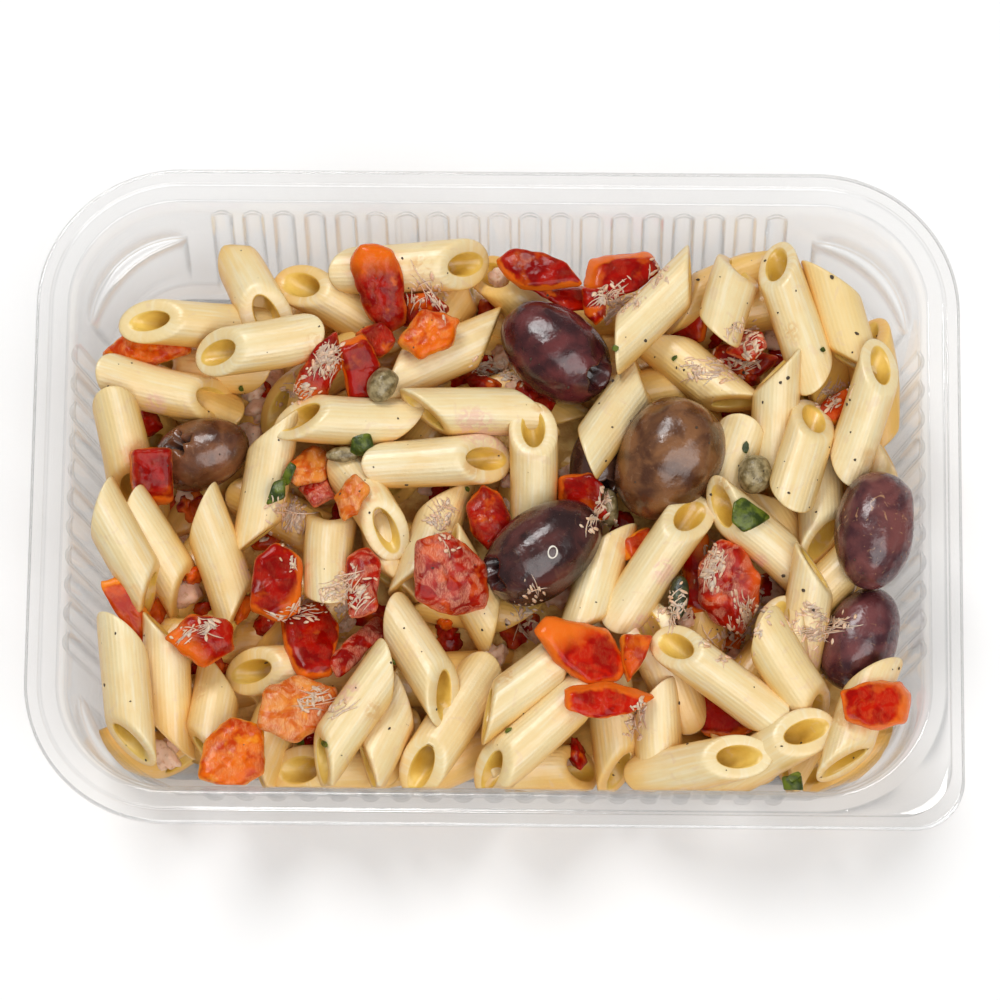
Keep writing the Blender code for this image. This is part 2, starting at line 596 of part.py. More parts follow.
    def direction(self, index):
        mine = np.nonzero(self.owner == index)[0][[0, -1]]
        ends = np.column_stack([self.plan()[mine], self.heights()[mine]])
        return Vector(ends[1] - ends[0]).normalized()


# Pieces


def frame_matrix(middle, direction, roll):
    """Turns +X to a direction and the cut's side, +Z, from upwards by the roll."""
    side = Vector((-direction.y, direction.x, 0.0)).normalized()
    up = direction.cross(side)
    turn = Matrix((direction, side, up)).transposed().to_4x4()
    return Matrix.Translation(middle) @ turn @ Euler((math.radians(roll), 0, 0)).to_matrix().to_4x4()


def cut_ring(bm, wide, high, end, shift, length):
    """A ring of the tube or its oval bore where the slanting cut at its first (1) or last (-1) end passes."""
    verts = []
    for side in range(PENNE_SIDES):
        angle = math.tau * (side + 0.5) / PENNE_SIDES
        y, z = wide * math.cos(angle), high * math.sin(angle)
        slant = PENNE_RUN / 2 * (1 + end * z / PENNE_RADIUS)
        verts.append(bm.verts.new((end * (length / 2 - slant - shift), y, z)))
    return verts


def bridge(bm, first, second):
    for index, vert in enumerate(first):
        after = (index + 1) % len(first)
        bm.faces.new((vert, first[after], second[after], second[index]))


def penne_mesh(length, bored, matrix):
    """A tube with parallel slanting ends and, where it shows, the mouth of its bore."""
    bm = bmesh.new()
    front = cut_ring(bm, PENNE_RADIUS, PENNE_RADIUS, 1, 0.0, length)
    back = cut_ring(bm, PENNE_RADIUS, PENNE_RADIUS, -1, 0.0, length)
    bridge(bm, front, back)
    bm.faces.new(back)
    if bored:
        mouth = cut_ring(bm, BORE_WIDE, BORE_HIGH, 1, 0.0, length)
        bottom = cut_ring(bm, BORE_WIDE, BORE_HIGH, 1, BORE_DEPTH, length)
        bridge(bm, front, mouth)
        bridge(bm, mouth, bottom)
        bm.faces.new(bottom)
    else:
        bm.faces.new(front)
    bm.transform(matrix)
    return bm


def stem_mesh(middle, direction):
    """Hidden salad that holds a penne up: a block from inside it down to the floor."""
    bm = bmesh.new()
    bmesh.ops.create_cube(bm, size=1.0)
    foot = WALL + GAP + 0.3
    bmesh.ops.scale(bm, vec=(STEM_LENGTH, STEM_WIDTH, middle.z - foot), verts=bm.verts)
    turn = Matrix.Rotation(math.atan2(direction.y, direction.x), 4, "Z")
    bm.transform(Matrix.Translation((middle.x, middle.y, (middle.z + foot) / 2)) @ turn)
    return bm


def rounded_rod(bm, length, width, segments, rings):
    """An egg-shaped body along +X, a little fuller at its first end."""
    bmesh.ops.create_uvsphere(bm, u_segments=segments, v_segments=rings, radius=1.0)
    bm.transform(Matrix.Rotation(math.pi / 2, 4, "Y"))
    for vert in bm.verts:
        fuller = 1.0 + 0.07 * vert.co.x
        vert.co = Vector((vert.co.x * length / 2, vert.co.y * fuller * width / 2, vert.co.z * fuller * width / 2))


def olive_mesh(length, width, pitted, matrix):
    bm = bmesh.new()
    rounded_rod(bm, length, width, OLIVE_SEGMENTS, OLIVE_RINGS)
    if pitted:
        tip = max(bm.verts, key=lambda vert: vert.co.x)
        mouth = [edge.other_vert(tip) for edge in tip.link_edges]
        for vert in mouth:
            vert.co.y *= PIT_RADIUS / (width / 2 * 0.45)
            vert.co.z *= PIT_RADIUS / (width / 2 * 0.45)
        tip.co.x -= PIT_DEPTH
    bm.transform(matrix)
    return bm


def caper_mesh(length, width, matrix):
    bm = bmesh.new()
    rounded_rod(bm, length, width, CAPER_SEGMENTS, CAPER_RINGS)
    bm.transform(matrix)
    return bm


def chip_mesh(name, thickness, outline, salad, index):
    """A flat piece between rings of its outline, bulging in the middle, on its tilted plane."""
    draw = random.Random(name)
    thin = thickness < THIN
    levels = ((-0.5, 0.96), (0.5, 0.96)) if thin else ((-0.5, 0.84), (0.05, 1.0), (0.5, 0.86))
    middle, move = salad.home[index], salad.move[index]
    bm = bmesh.new()

    def place(x, y, level):
        local = np.array([x, y]) - middle
        z = salad.height[index] + local @ salad.slope[index] + level * thickness
        flat = np.array(sight(x, y, z)) + move
        return Vector((*flat, z))

    rings = []
    for level, scale in levels:
        ring = []
        for number, corner in enumerate(outline):
            x, y = middle + scale * (np.array(corner) - middle)
            lift = 0.3 * math.sin(2.4 * number) if thin else draw.uniform(-0.12, 0.12)
            ring.append(bm.verts.new(place(x, y, level + lift)))
        rings.append(ring)
    for lower, upper in zip(rings, rings[1:]):
        bridge(bm, lower, upper)
    for ring, level in ((rings[0], levels[0][0]), (rings[-1], levels[-1][0])):
        centre = bm.verts.new(place(*middle, level * (1.0 if thin else 1.15)))
        for number, vert in enumerate(ring):
            bm.faces.new((vert, ring[(number + 1) % len(ring)], centre))
    return bm


def mound_mesh():
    """The hidden salad: rings of the mound's outline that rise to the bed."""
    steps = 28
    bm = bmesh.new()
    rings = []
    for scale, share in ((0.97, 0.0), (1.0, 0.15), (0.93, None), (0.75, None), (0.4, None)):
        ring = []
        for step in range(steps):
            angle = math.tau * step / steps
            reach = min(
                distance / max(math.cos(angle - math.radians(direction)), 1e-3)
                for direction, distance in MOUND_SIDES
                if math.cos(angle - math.radians(direction)) > 0.05
            )
            x, y = scale * reach * math.cos(angle), scale * reach * math.sin(angle)
            height = WALL + GAP + share * BED_DEPTH if share is not None else bed_height(x, y)
            ring.append(bm.verts.new((x, y, height)))
        rings.append(ring)
    for lower, upper in zip(rings, rings[1:]):
        bridge(bm, lower, upper)
    bm.faces.new(rings[0])
    centre = bm.verts.new((0, 0, bed_height(0, 0)))
    top = rings[-1]
    for index, vert in enumerate(top):
        bm.faces.new((vert, top[(index + 1) % steps], centre))
    return bm


# Joining and cutting


def boolean(target, operation, collection):
    """Joins or cuts the target with all of a collection, and applies it."""
    modifier = target.modifiers.new("join", "BOOLEAN")
    modifier.operation = operation
    modifier.operand_type = "COLLECTION"
    modifier.collection = collection
    modifier.solver = "MANIFOLD"
    graph = bpy.context.evaluated_depsgraph_get()
    mesh = bpy.data.meshes.new_from_object(target.evaluated_get(graph))
    target.modifiers.clear()
    target.data = mesh


def island_volume(faces):
    total = 0.0
    for face in faces:
        corners = [vert.co for vert in face.verts]
        for second, third in zip(corners[1:], corners[2:]):
            total += corners[0].dot(second.cross(third)) / 6
    return total


def keep_main_body(item):
    """Drops loose scraps and fills sealed hollows: only the largest shell stays."""
    bm = bmesh.new()
    bm.from_mesh(item.data)
    left = set(bm.faces)
    islands = []
    while left:
        first = left.pop()
        island, edge_of_search = [first], [first]
        while edge_of_search:
            face = edge_of_search.pop()
            for edge in face.edges:
                for other in edge.link_faces:
                    if other in left:
                        left.discard(other)
                        island.append(other)
                        edge_of_search.append(other)
        islands.append(island)
    main = max(islands, key=island_volume)
    spare = [face for island in islands if island is not main for face in island]
    bmesh.ops.delete(bm, geom=spare, context="FACES")
    bmesh.ops.delete(bm, geom=[vert for vert in bm.verts if not vert.link_faces], context="VERTS")
    bm.to_mesh(item.data)
    bm.free()


def swollen(item, collection):
    """A copy of a piece that is larger all round by the gap, as a cutter."""
    bm = bmesh.new()
    bm.from_mesh(item.data)
    bm.normal_update()
    moves = [vert.normal * GAP * MM * min(vert.calc_shell_factor(), 2.0) for vert in bm.verts]
    for vert, move in zip(bm.verts, moves):
        vert.co += move
    mesh = bpy.data.meshes.new("cutter")
    bm.to_mesh(mesh)
    bm.free()
    cutter = bpy.data.objects.new("cutter", mesh)
    cutter.hide_render = True
    cutter.display_type = "WIRE"
    collection.objects.link(cutter)
    return cutter


def new_collection(name):
    collection = bpy.data.collections.new(name)
    bpy.context.scene.collection.children.link(collection)
    return collection


def remove_collection(collection):
    for item in list(collection.objects):
        bpy.data.objects.remove(item, do_unlink=True)
    bpy.data.collections.remove(collection)


def boxes_meet(first, second):
    bounds = []
    for item in (first, second):
        corners = np.array([vert.co for vert in item.data.vertices])
        bounds.append((corners.min(axis=0) - GAP * MM, corners.max(axis=0) + GAP * MM))
    return bool((bounds[0][0] < bounds[1][1]).all() and (bounds[1][0] < bounds[0][1]).all())


def part_toppings(toppings):
    """A topping gives way to each one that lies over it."""
    for index, lower in enumerate(toppings):
        over = [upper for upper in toppings[index + 1:] if boxes_meet(lower, upper)]
        if not over:
            continue
        cutters = new_collection("cutters")
        for upper in over:
            swollen(upper, cutters)
        boolean(lower, "DIFFERENCE", cutters)
        keep_main_body(lower)
        remove_collection(cutters)


def lay_pieces(penne_parts):
    """Lets the salad settle, makes every piece of it and returns the toppings."""
    salad = Salad(PIECES)
    salad.settle()
    held = salad.held()
    toppings = []
    for index, (kind, name, values) in enumerate(PIECES):
        if kind == "chip":
            mesh = chip_mesh(name, values[0], values[1:], salad, index)
        else:
            roll = values[4] if kind == "penne" else 0
            matrix = frame_matrix(salad.middle(index), salad.direction(index), roll)
        if kind == "penne":
            meshes = [penne_mesh(values[3], values[5], matrix)]
            if index not in held or name in CARRIED_BY_TOPPINGS:
                meshes.append(stem_mesh(salad.middle(index), salad.direction(index)))
            for mesh in meshes:
                press_to_wall(mesh)
                add_object("penne_" + name, mesh, penne_parts)
            continue
        if kind == "olive":
            mesh = olive_mesh(values[3], values[4], values[5], matrix)
        if kind == "caper":
            mesh = caper_mesh(values[3], values[4], matrix)
        press_to_wall(mesh)
        item = add_object(name, mesh)
        item.data.materials.append(material_for(name))
        toppings.append(item)
    return toppings


def make_salad():
    penne_parts = new_collection("penne")
    toppings = lay_pieces(penne_parts)
    heap = add_object("penne_heap", mound_mesh())
    boolean(heap, "UNION", penne_parts)
    remove_collection(penne_parts)
    part_toppings(toppings)
    cutters = new_collection("cutters")
    for topping in toppings:
        swollen(topping, cutters)
    boolean(heap, "DIFFERENCE", cutters)
    remove_collection(cutters)
    keep_main_body(heap)
    heap.data.materials.clear()
    heap.data.materials.append(material_for("penne_heap"))


def main():
    clear_scene()
    tray = make_tray()
    tray.data.materials.append(material_for("tray"))
    make_salad()


main()
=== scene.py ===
"""Looks of the pasta salad in its clear tray: penne, olives, red pepper, tuna, capers and herbs.

Lengths are millimetres and angles are degrees until a mesh is made, which is in metres. +X runs along the
tray, +Y to its far side and +Z up. The origin is in the middle of the tray's underside.
"""

import functools
import math
import random

import bmesh
import bpy
import numpy as np
from mathutils import Euler, Matrix, Vector, noise
from mathutils.bvhtree import BVHTree


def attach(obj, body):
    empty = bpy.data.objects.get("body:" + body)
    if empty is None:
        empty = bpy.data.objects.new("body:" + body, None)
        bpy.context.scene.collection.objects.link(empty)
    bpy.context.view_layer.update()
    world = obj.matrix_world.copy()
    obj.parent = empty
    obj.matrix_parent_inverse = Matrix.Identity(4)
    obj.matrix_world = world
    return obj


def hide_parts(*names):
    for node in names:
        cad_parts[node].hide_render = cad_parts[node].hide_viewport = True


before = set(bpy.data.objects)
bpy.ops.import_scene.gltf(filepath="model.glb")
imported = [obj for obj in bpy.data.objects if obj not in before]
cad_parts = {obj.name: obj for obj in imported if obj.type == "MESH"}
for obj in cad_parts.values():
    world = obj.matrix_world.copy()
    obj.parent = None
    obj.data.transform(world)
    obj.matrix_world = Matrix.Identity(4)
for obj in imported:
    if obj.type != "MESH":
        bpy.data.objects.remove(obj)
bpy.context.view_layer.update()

MM = 0.001
FAR_OFF = 99.0

# Tray: the space that the food keeps from it, then its outer size, flange, walls and flutes
GAP = 0.3
TRAY_LENGTH = 187.0
TRAY_WIDTH = 136.0
TRAY_HEIGHT = 36.0
WALL = 0.8
CORNER = 29.0
PEEL_CORNER = 10.0
PEEL_EASE = 0.4
RIM_LIP = 1.4
BAND = 2.8
STEP = 0.5
LEDGE = 6.6
WALL_TOP_INSET = 8.0
WALL_TOP = 33.4
WALL_FOOT_INSET = 13.0
WALL_FOOT = 4.4
FLOOR_INSET = 16.0
# The flutes' number and pitch on the short walls and on the long ones
FLUTES = (11, 19)
FLUTE_PITCH = (6.0, 6.3)
FLUTE_WIDTH = 3.8
FLUTE_DEPTH = 1.1
FLUTE_TOP = 31.6

# Penne: radius, and how far the slanting cut runs along the tube
PENNE_RADIUS = 5.0
PENNE_RUN = 10.5

# How the salad lies: pieces press into each other a little, on a soft bed of hidden ones, below a ceiling
SOFT = 0.93
BURIED = 0.7
BED_DEPTH = 13.5
CEILING = 34.5
# Heights that a piece tends to with everything on top of it, and with everything under it, and how strongly
LOW_AIM = 14.0
HIGH_AIM = 31.0
PULL = 0.06
# Spheres that stand for the pieces: their spacing, how near two can touch and how near they cross
SAMPLE_STEP = 2.6
NEAR = 4.0
CROSSING = 0.6
CHIP_SHRINK = 0.8
ROD_SHARE = 0.4
# Steps of settling: how many, how slow the last one is, and how often the walls push back
STEPS = 300
SLOWEST = 0.3
WALL_TURN = 10
STEEPEST = 0.45
SIDEWAYS = 0.5
MOST_MOVE = 0.9
PRESSED = 1.2
# The mound's sides, each as the direction that it faces and its reach from the middle
MOUND_SIDES = (
    (0, 78.0), (40, 80.0), (90, 52.0), (127, 71.0),
    (180, 78.0), (220, 85.0), (270, 54.0), (322, 86.0),
)

# Places are judged from a viewpoint in front of the tray and above it, on a level plane through the salad
VIEWPOINT = (14.1, -297.2, 1126.3)
READING_LEVEL = 28.0

# Each piece, in the order in which they lie. A penne: centre x, y, heading of its first end, length, roll of
# that end's cut from facing up, and its tilt where it doesn't simply rest on what is below. A pepper or leaf:
# thickness and the corners of its outline. An olive or caper: centre, heading, length and width
PIECES = (
    ("penne_06", -60, 28.5, 0, 30, 180),
    ("pepper_12", 5.0, (-79, 30), (-74, 35.5), (-64, 36), (-62, 31), (-70, 28)),
    ("penne_04", -67.5, 22.3, -13, 31, 0),
    ("penne_01", -60, 38, 176, 33, 0),
    ("penne_02", -50, 44.5, -60, 26, 0, 30),
    ("penne_03", -47.5, 32.5, 191, 28, 0),
    ("olive_6", -59, 10.5, 200, 20, 14.5),
    ("penne_05", -74.5, 11.5, -78, 28, 0),
    ("pepper_11", 8.0, (-75, 10), (-67, 10.5), (-66.5, 0), (-74, -0.5)),
    ("penne_08", -47.5, 4, -98, 34, -90),
    ("penne_07", -56, -12.5, -70, 33, -75),
    ("penne_11", -68.5, -11, -58, 30, -45),
    ("penne_10", -74, -9.5, -60, 31, -55),
    ("pepper_19", 2.4, (-78.5, -17), (-74, -16), (-68, -25), (-69, -29), (-74, -24.5)),
    ("penne_13", -64.5, -38, -86, 32, 90),
    ("penne_12", -73.5, -38, -84, 33, 60),
    ("penne_33", -44, -50, -110, 24, 90),
    ("penne_14", -57, -44, -98, 28, 90),
    ("pepper_18", 4.0, (-65, -29), (-60, -24.5), (-53, -25.5), (-52, -31), (-58, -34.5)),
    ("pepper_20", 4.6, (-57, -50), (-52, -44.5), (-46, -46.5), (-45.5, -55), (-51, -58.5), (-57.5, -56)),
    ("penne_32", -31, -54.5, 180, 26, 0),
    ("penne_31", -22, -47.5, -115, 28, 90),
    ("penne_34", -7, -52.5, 25, 26, 90),
    ("penne_15", -39.5, -34, 184, 29, 0),
    ("pepper_16", 5.0, (-43, -24), (-35, -22), (-32, -27), (-33, -36), (-39, -37), (-42, -31)),
    ("pepper_17", 3.4, (-32, -32), (-23.5, -24), (-20.5, -26.5), (-30, -36)),
    ("pepper_21", 4.6, (-45, -40), (-39, -37), (-31.5, -40), (-33, -46), (-39, -50), (-46, -47)),
    ("penne_30", -9, -45, -123, 34, 10),
    ("penne_29", -15, -32, -57, 30, -50),
    ("penne_27", -21, -10, -80, 25, 90),
    ("penne_24", -13.5, -8, 72, 30, -90),
    ("penne_26", -33.5, -10, 88, 30, 0),
    ("penne_36", -5, -19, -60, 28, -90),
    ("pepper_14", 5.0, (-47, -12), (-43, -9), (-38.5, -12), (-39, -22), (-43, -24), (-48, -22)),
    ("pepper_15", 4.0, (-30.8, -12), (-27, -9.5), (-24.3, -12), (-25, -22), (-30, -23)),
    ("penne_28", -27.3, -43.5, -123, 33, 60),
    ("pepper_33", 4.0, (-39, 3), (-34, 6), (-32, 1), (-36, -1)),
    ("pepper_13", 4.4, (-41.5, 7), (-37, 11), (-33.5, 9), (-34.5, 4), (-40, 3)),
    ("leaf_2", 0.8, (-44.5, 4), (-42, 9.5), (-40.5, 8.5), (-42, 4.5)),
    ("leaf_3", 0.8, (-47.5, -0.5), (-46, 4.5), (-43.5, 5.5), (-43.5, 1)),
    ("penne_25", -25, -1, -58, 26, 0, 22),
    ("pepper_37", 3.6, (-31.5, 1), (-28, 5.5), (-25, 3), (-27, -2), (-30, -3.5)),
    ("penne_23", -13, 8.5, 4, 31, 10),
    ("penne_18", -9, 41, 55, 25, 60),
    ("penne_16", -33, 41, 149, 30, 0),
    ("penne_22", 4, 42, 135, 26, 0),
    ("penne_17", -18.5, 49, 3, 34, 25),
    ("pepper_02", 4.4, (-20, 44.5), (-14, 45.5), (-10.5, 42), (-12.5, 38.5), (-19, 38.5)),
    ("penne_19", -11, 31, 25, 34, 90),
    ("pepper_01", 5.0, (-30, 52), (-27.5, 55), (-22, 54), (-20, 49), (-19, 40), (-23, 37), (-27, 42)),
    ("pepper_34", 4.2, (-28, 36), (-23, 38), (-20, 34.5), (-23, 31), (-27, 31.5)),
    ("pepper_03", 4.4, (-20, 34), (-15, 40.5), (-8, 38.5), (-9.5, 33), (-15.5, 30.5)),
    ("pepper_05", 5.0, (-42, 25), (-38, 33), (-34, 36), (-33, 29), (-36, 22.5), (-40, 22)),
    ("pepper_04", 4.4, (-33, 33), (-28, 35), (-25, 29), (-26.5, 23), (-31, 22.5)),
    ("penne_20", -29.5, 16.5, 178, 31.5, 35),
    ("caper_1", -24.3, 25, 60, 7.4, 5.8),
    ("caper_4", -30.5, 9.6, 5, 7, 3.2),
    ("penne_53", 55, 43, 17, 26, 0),
    ("penne_57", 68, 26, 60, 28, 90),
    ("penne_54", 76, 25, 96, 30, -40),
    ("penne_56", 75, 4, 75, 28, 90),
    ("penne_63", 59, -6, -60, 28, 90),
    ("penne_71", 66, -16, 45, 28, 90),
    ("penne_62", 66, 0, -88, 28, -60),
    ("penne_73", 19, -25, 60, 28, 90),
    ("penne_72", 61, -48, 60, 26, 90),
    ("pepper_10", 4.0, (64, 20.5), (66, 22.5), (70.5, 25), (69.5, 20), (67.5, 17.5)),
    ("pepper_30", 4.0, (40, -3), (43.5, -8), (42, -19), (45, -24), (39, -22), (38.5, -12)),
    ("pepper_32", 4.0, (38, -38), (43, -39), (52, -45), (47, -47.5), (41, -47), (39.5, -43)),
    ("pepper_08", 4.0, (34, 36), (38, 33), (41, 34.5), (42, 41.5), (39, 41)),
    ("olive_7", 21.5, 8, 80, 17, 12),
    ("caper_7", 22, 0, 95, 8, 4),
    ("penne_42", 21.1, -17.5, 74, 32, -90),
    ("pepper_24", 4.4, (12.7, 4.5), (18.5, 5.5), (21, 3), (20.5, 0), (22.3, -3.5), (17, -4), (13, 0)),
    ("pepper_28", 4.0, (25, -6.5), (30, -4), (31, -7), (26, -11)),
    ("pepper_09", 4.6, (42, 29), (44.5, 33), (50, 32.5), (56, 30.5), (53, 27.5), (49, 25), (45.5, 26)),
    ("pepper_35", 4.2, (46, 33), (48.5, 37.5), (53, 37), (53.5, 34), (51, 31)),
    ("penne_39", 41, 26.8, -40, 31, 90),
    ("penne_52", 70, 38, 105, 30, 90),
    ("penne_50", 46, 43.5, 72, 27, 30),
    ("penne_38", 23, 18.5, 54, 33, 55),
    ("olive_1", 12.5, 32, -40, 24.5, 18),
    ("pepper_36", 3.6, (5, 45.5), (10, 45), (19, 45), (19.5, 40.5), (14, 40.5), (9, 43)),
    ("pepper_07", 4.4, (17.3, 46), (18.5, 51), (23, 52), (30, 52.6), (31.5, 49.5), (27, 45.5), (22, 43.5)),
    ("pepper_38", 4.0, (17.5, 46), (22.5, 45), (22, 40), (20, 38.5), (18, 41)),
    ("pepper_06", 3.4, (0, 50.5), (3, 52.8), (8, 52), (13, 50), (16.5, 46), (10, 45), (5, 45), (2, 47.5)),
    ("penne_37", 31, 40.5, 45, 32.5, 75),
    ("penne_21", -3, 20, 0, 34, -90),
    ("leaf_1", 0.8, (-30, 11), (-29.5, 15.5), (-26, 15.7), (-25, 12.5), (-27.5, 10.5)),
    ("penne_41", 8, 4.5, 90, 32, 0),
    ("penne_51", 61, 39, 108, 34, -30),
    ("penne_58", 55.5, 17, 87, 33, -90),
    ("penne_59", 46.5, 7.5, 72, 27, 180),
    ("caper_2", 51.5, 6, 80, 8, 7),
    ("penne_60", 61, 11, 74, 27, 20),
    ("penne_55", 74.3, 19.2, 71, 31, 30),
    ("olive_2", 35.5, 9, 62, 26, 21),
    ("pepper_22", 5.0, (-15, -8), (-9, -6), (-2, -12), (-1.5, -20), (-8, -22), (-15, -19)),
    ("pepper_23", 4.6, (-5, 0), (-2, 4), (1.5, 2), (3.5, -3), (-0.5, -9), (-4, -5)),
    ("olive_3", 9.5, -9, 218, 26, 18),
    ("caper_6", 37.6, -19.5, 85, 9, 4),
    ("penne_43", 31.5, -12, 56, 34, 0),
    ("penne_61", 53.5, -6.3, 139, 29.5, -60),
    ("leaf_4", 1.0, (47, 1), (49, 2.3), (54.8, -2), (52, -4), (49, -5.3), (46.7, -3)),
    ("pepper_29", 6.5, (46, -7), (50, -8.5), (53, -14), (53, -19), (50, -25), (45, -23), (42, -19), (42, -12)),
    ("penne_64", 62, -22, -100, 28, 90),
    ("penne_65", 59, -33, 100, 28, -30),
    ("penne_66", 59, -34, -57, 30, -30),
    ("penne_48", 33.5, -34, -67, 30, 180),
    ("penne_45", 11, -54.5, 3, 26, 0, -15),
    ("penne_46", 25, -47, -82, 27, -45, -12),
    ("penne_47", 33.5, -48.5, -85, 25, -50, -12),
    ("caper_8", 10.5, -40.5, 30, 6.5, 5),
    ("penne_35", 7.5, -37, 218, 31, 80),
    ("penne_44", 9, -49.5, 222, 35, 30),
    ("pepper_25", 4.8, (8, -27), (10.5, -24), (21.5, -26.5), (25, -33), (23.5, -36.3), (17.5, -37), (12, -33)),
    ("pepper_27", 4.4, (25.5, -26.5), (31.5, -26.5), (30, -31), (27, -35.6), (25.8, -32)),
    ("pepper_26", 4.4, (14, -38.2), (22, -36.9), (30.7, -39.5), (27, -42.2), (20, -43.7), (14, -42)),
    ("penne_49", 46, -36, 142, 32.5, 0),
    ("penne_68", 53.6, -52, 30, 31, 0, 30),
    ("penne_69", 40.5, -53.9, 12, 31, 0, 35),
    ("leaf_8", 1.0, (57, -55), (61, -54.5), (61.5, -58), (57.5, -58)),
    ("olive_5", 72.5, -27.5, 248, 22, 15),
    ("olive_4", 75.5, -5, 82, 24.5, 16.5),
    ("penne_70", 73, -43, -108, 31, -75),
    ("pepper_31", 4.8, (69, -38.5), (75, -36.5), (80, -36.8), (82, -39), (81, -44.5), (75, -45.8), (70, -44)),
)

# Shape of a penne: points around, rings between its ends, ridges and their depth, and its bore
PENNE_AROUND = 52
PENNE_STEPS = 7
PENNE_RIDGES = 34
RIDGE = 0.018
BORE_WIDE = 2.2
BORE_HIGH = 3.0
# Edges as pairs: how far in from the cut, and how much wider or narrower than the tube
PENNE_LIP = ((0.0, -0.95), (0.1, -0.5), (0.38, -0.17), (0.8, -0.04), (1.4, 0.0))
# The bore from its mouth inward: how deep, and how wide as a share of the bore
PENNE_BORE = (
    (0.0, 1.22), (0.18, 1.09), (0.7, 1.0), (3.0, 1.0), (6.0, 0.97), (8.5, 0.86), (9.6, 0.55), (9.8, 0.05),
)
# How far inside the penne the rings of its bore and lip are
PENNE_DEPTHS = (1.0, 1.0, 1.0, 1.0, 1.0, 1.0, 1.0, 0.4, 0.2, 0.0, 0.0, 0.0, 0.0)
PENNE_VALUES = ("inside", "side", "top", "along", "tone", "yolk", "pink", "tan", "brown", "orange")
# How far olives and red pieces colour the pasta, and the height above which smears lie
BROWN_REACH = 9.5
ORANGE_REACH = 4.5
SMEARS_ABOVE = 20.0
# Distances worked out at a time
BLOCK = 4000

# Lower penne: rows along the walls, as height, inset from the tray's outline and spacing, then scattered ones
LOWER_AROUND = 28
LOWER_STEPS = 5
LOWER_ROWS = ((6.2, 21.0, 29.0), (15.5, 18.5, 31.0), (6.2, 33.0, 31.0), (6.0, 44.0, 31.0), (6.0, 55.0, 31.0))
INNER_PENNE = 500
INNER_SPACE = ((-70, 70), (-44, 44), (8.0, 17.0))
LOWER_LENGTHS = (27, 32)
LOWER_SHARES = (-0.36, -0.12, 0.12, 0.36)
DEEPEST_CROSSING = 5.0
LOWER_APART = 6.6
# Painted shade: the lower penne are coloured a deeper yellow
LOWER_SHADE_YELLOW = 0.5
EMPTY_CORNER = (-55.0, 38.0)

# The mound inside the salad
CORE_AROUND = 120
CORE_RINGS = 30
CORE_LOW = 3.4
CORE_DEPTH = 7.0
CORE_INSET = 5.0
CORE_LUMPS = (6.0, 0.35)

# Flat pieces: points around, rings inside their flat top, and creases as width and depth
SLAB_AROUND = 64
SLAB_INNER = (0.17, 0.33, 0.5, 0.67, 0.84)
SLAB_CREASES = ((1.8, 0.6), (0.9, 0.3))
LEAF_DOME = 1.1
HERB_AROUND = 40
HERB_THICK = 0.35

# Olives and capers: points around, rings and how wrinkled, then the depth and edge of a pit hole
EGGS = {"olive": (76, 64, 0.012), "caper": (36, 30, 0.12)}
PIT_SUNK = 4.5
PIT_EDGE = 0.13
PIT_LIP = 0.35

# Scraps of flesh in the gaps: how many are tried, where, their sizes, the share of pulp and their heights
SCRAPS = 800
SCRAP_AREA = ((-72, 80), (-54, 52))
SCRAP_SIZES = (4.0, 7.5)
PULP_SHARE = 0.62
SCRAP_LEVELS = (6.0, 17.0)
# Mouths that hold no scraps: x, y and radius
CLEAR_MOUTHS = ((-55.5, 20.5, 5.0),)

# Tuna: points along and around a fibre, its widths, fibres and crumbs in each shred, and loose fibres
STRAND_STEPS = 8
STRAND_AROUND = 5
STRAND_STEEPEST = 1.2
TUNA_FIBRES = 5
FIBRE_WIDTHS = (0.11, 0.26)
TUNA_CRUMBS = 7
CRUMB_SIZES = (0.4, 1.3)
CRUMB_FORM = (1.5, 0.8, 0.6)
LOOSE_SHARE = 0.25
LOOSE_LENGTHS = (3.0, 8.0)
LOOSE_WIDTH = 0.16

# Clear sheet of the tray: its thickness, stations round it, rings across the floor and points beside a bend
SHEET = 0.6
TRAY_CORNER_STEPS = 28
TRAY_SIDE_STEPS = (150, 224)
# Heights below the flutes' rounded tops, and plain heights, at which the wall gets a ring of points
FLUTE_DROPS = (0.1, 0.35, 0.8, 1.5, 2.3, 4.0)
WALL_RINGS = (17, 13, 9, 6)
# Rings across the floor, as shares of its outline
FLOOR_RINGS = (0.7, 0.4, 0.1)
# Guard points beside a bend of the profile: far and near one, and the shortest stretch that gets them
GUARDS = (0.6, 0.2)
LEAST_STRETCH = 0.45
# The step in each corner that keeps stacked trays apart
SHOULDER = 2.6
SHOULDER_TOP = 21.5
SHOULDER_EASE = 0.4
SHOULDER_FOOT = 9

# Ground pepper: specks that show at x, y and their size, then how many more, where, their sizes and heights
SPECKS = 150
SPECK_AREA = ((-80, 82), (-58, 58))
SPECK_SIZES = (0.25, 0.6)
SPECK_LEVELS = (10, FAR_OFF)
SEEN_SPECK_SIZE = 0.8
SEEN_SPECKS = (
    (68, 48.5), (40.7, 47.7), (30, 34.7), (23.5, 26), (59, 27), (57.5, 26), (71, 21.5), (73, 36.5), (50, 28),
    (81, -33.5), (58, -14.5), (62, -17.5), (64, -21.5), (37, -41), (7.5, -30), (2.5, -25), (61.5, -49),
)
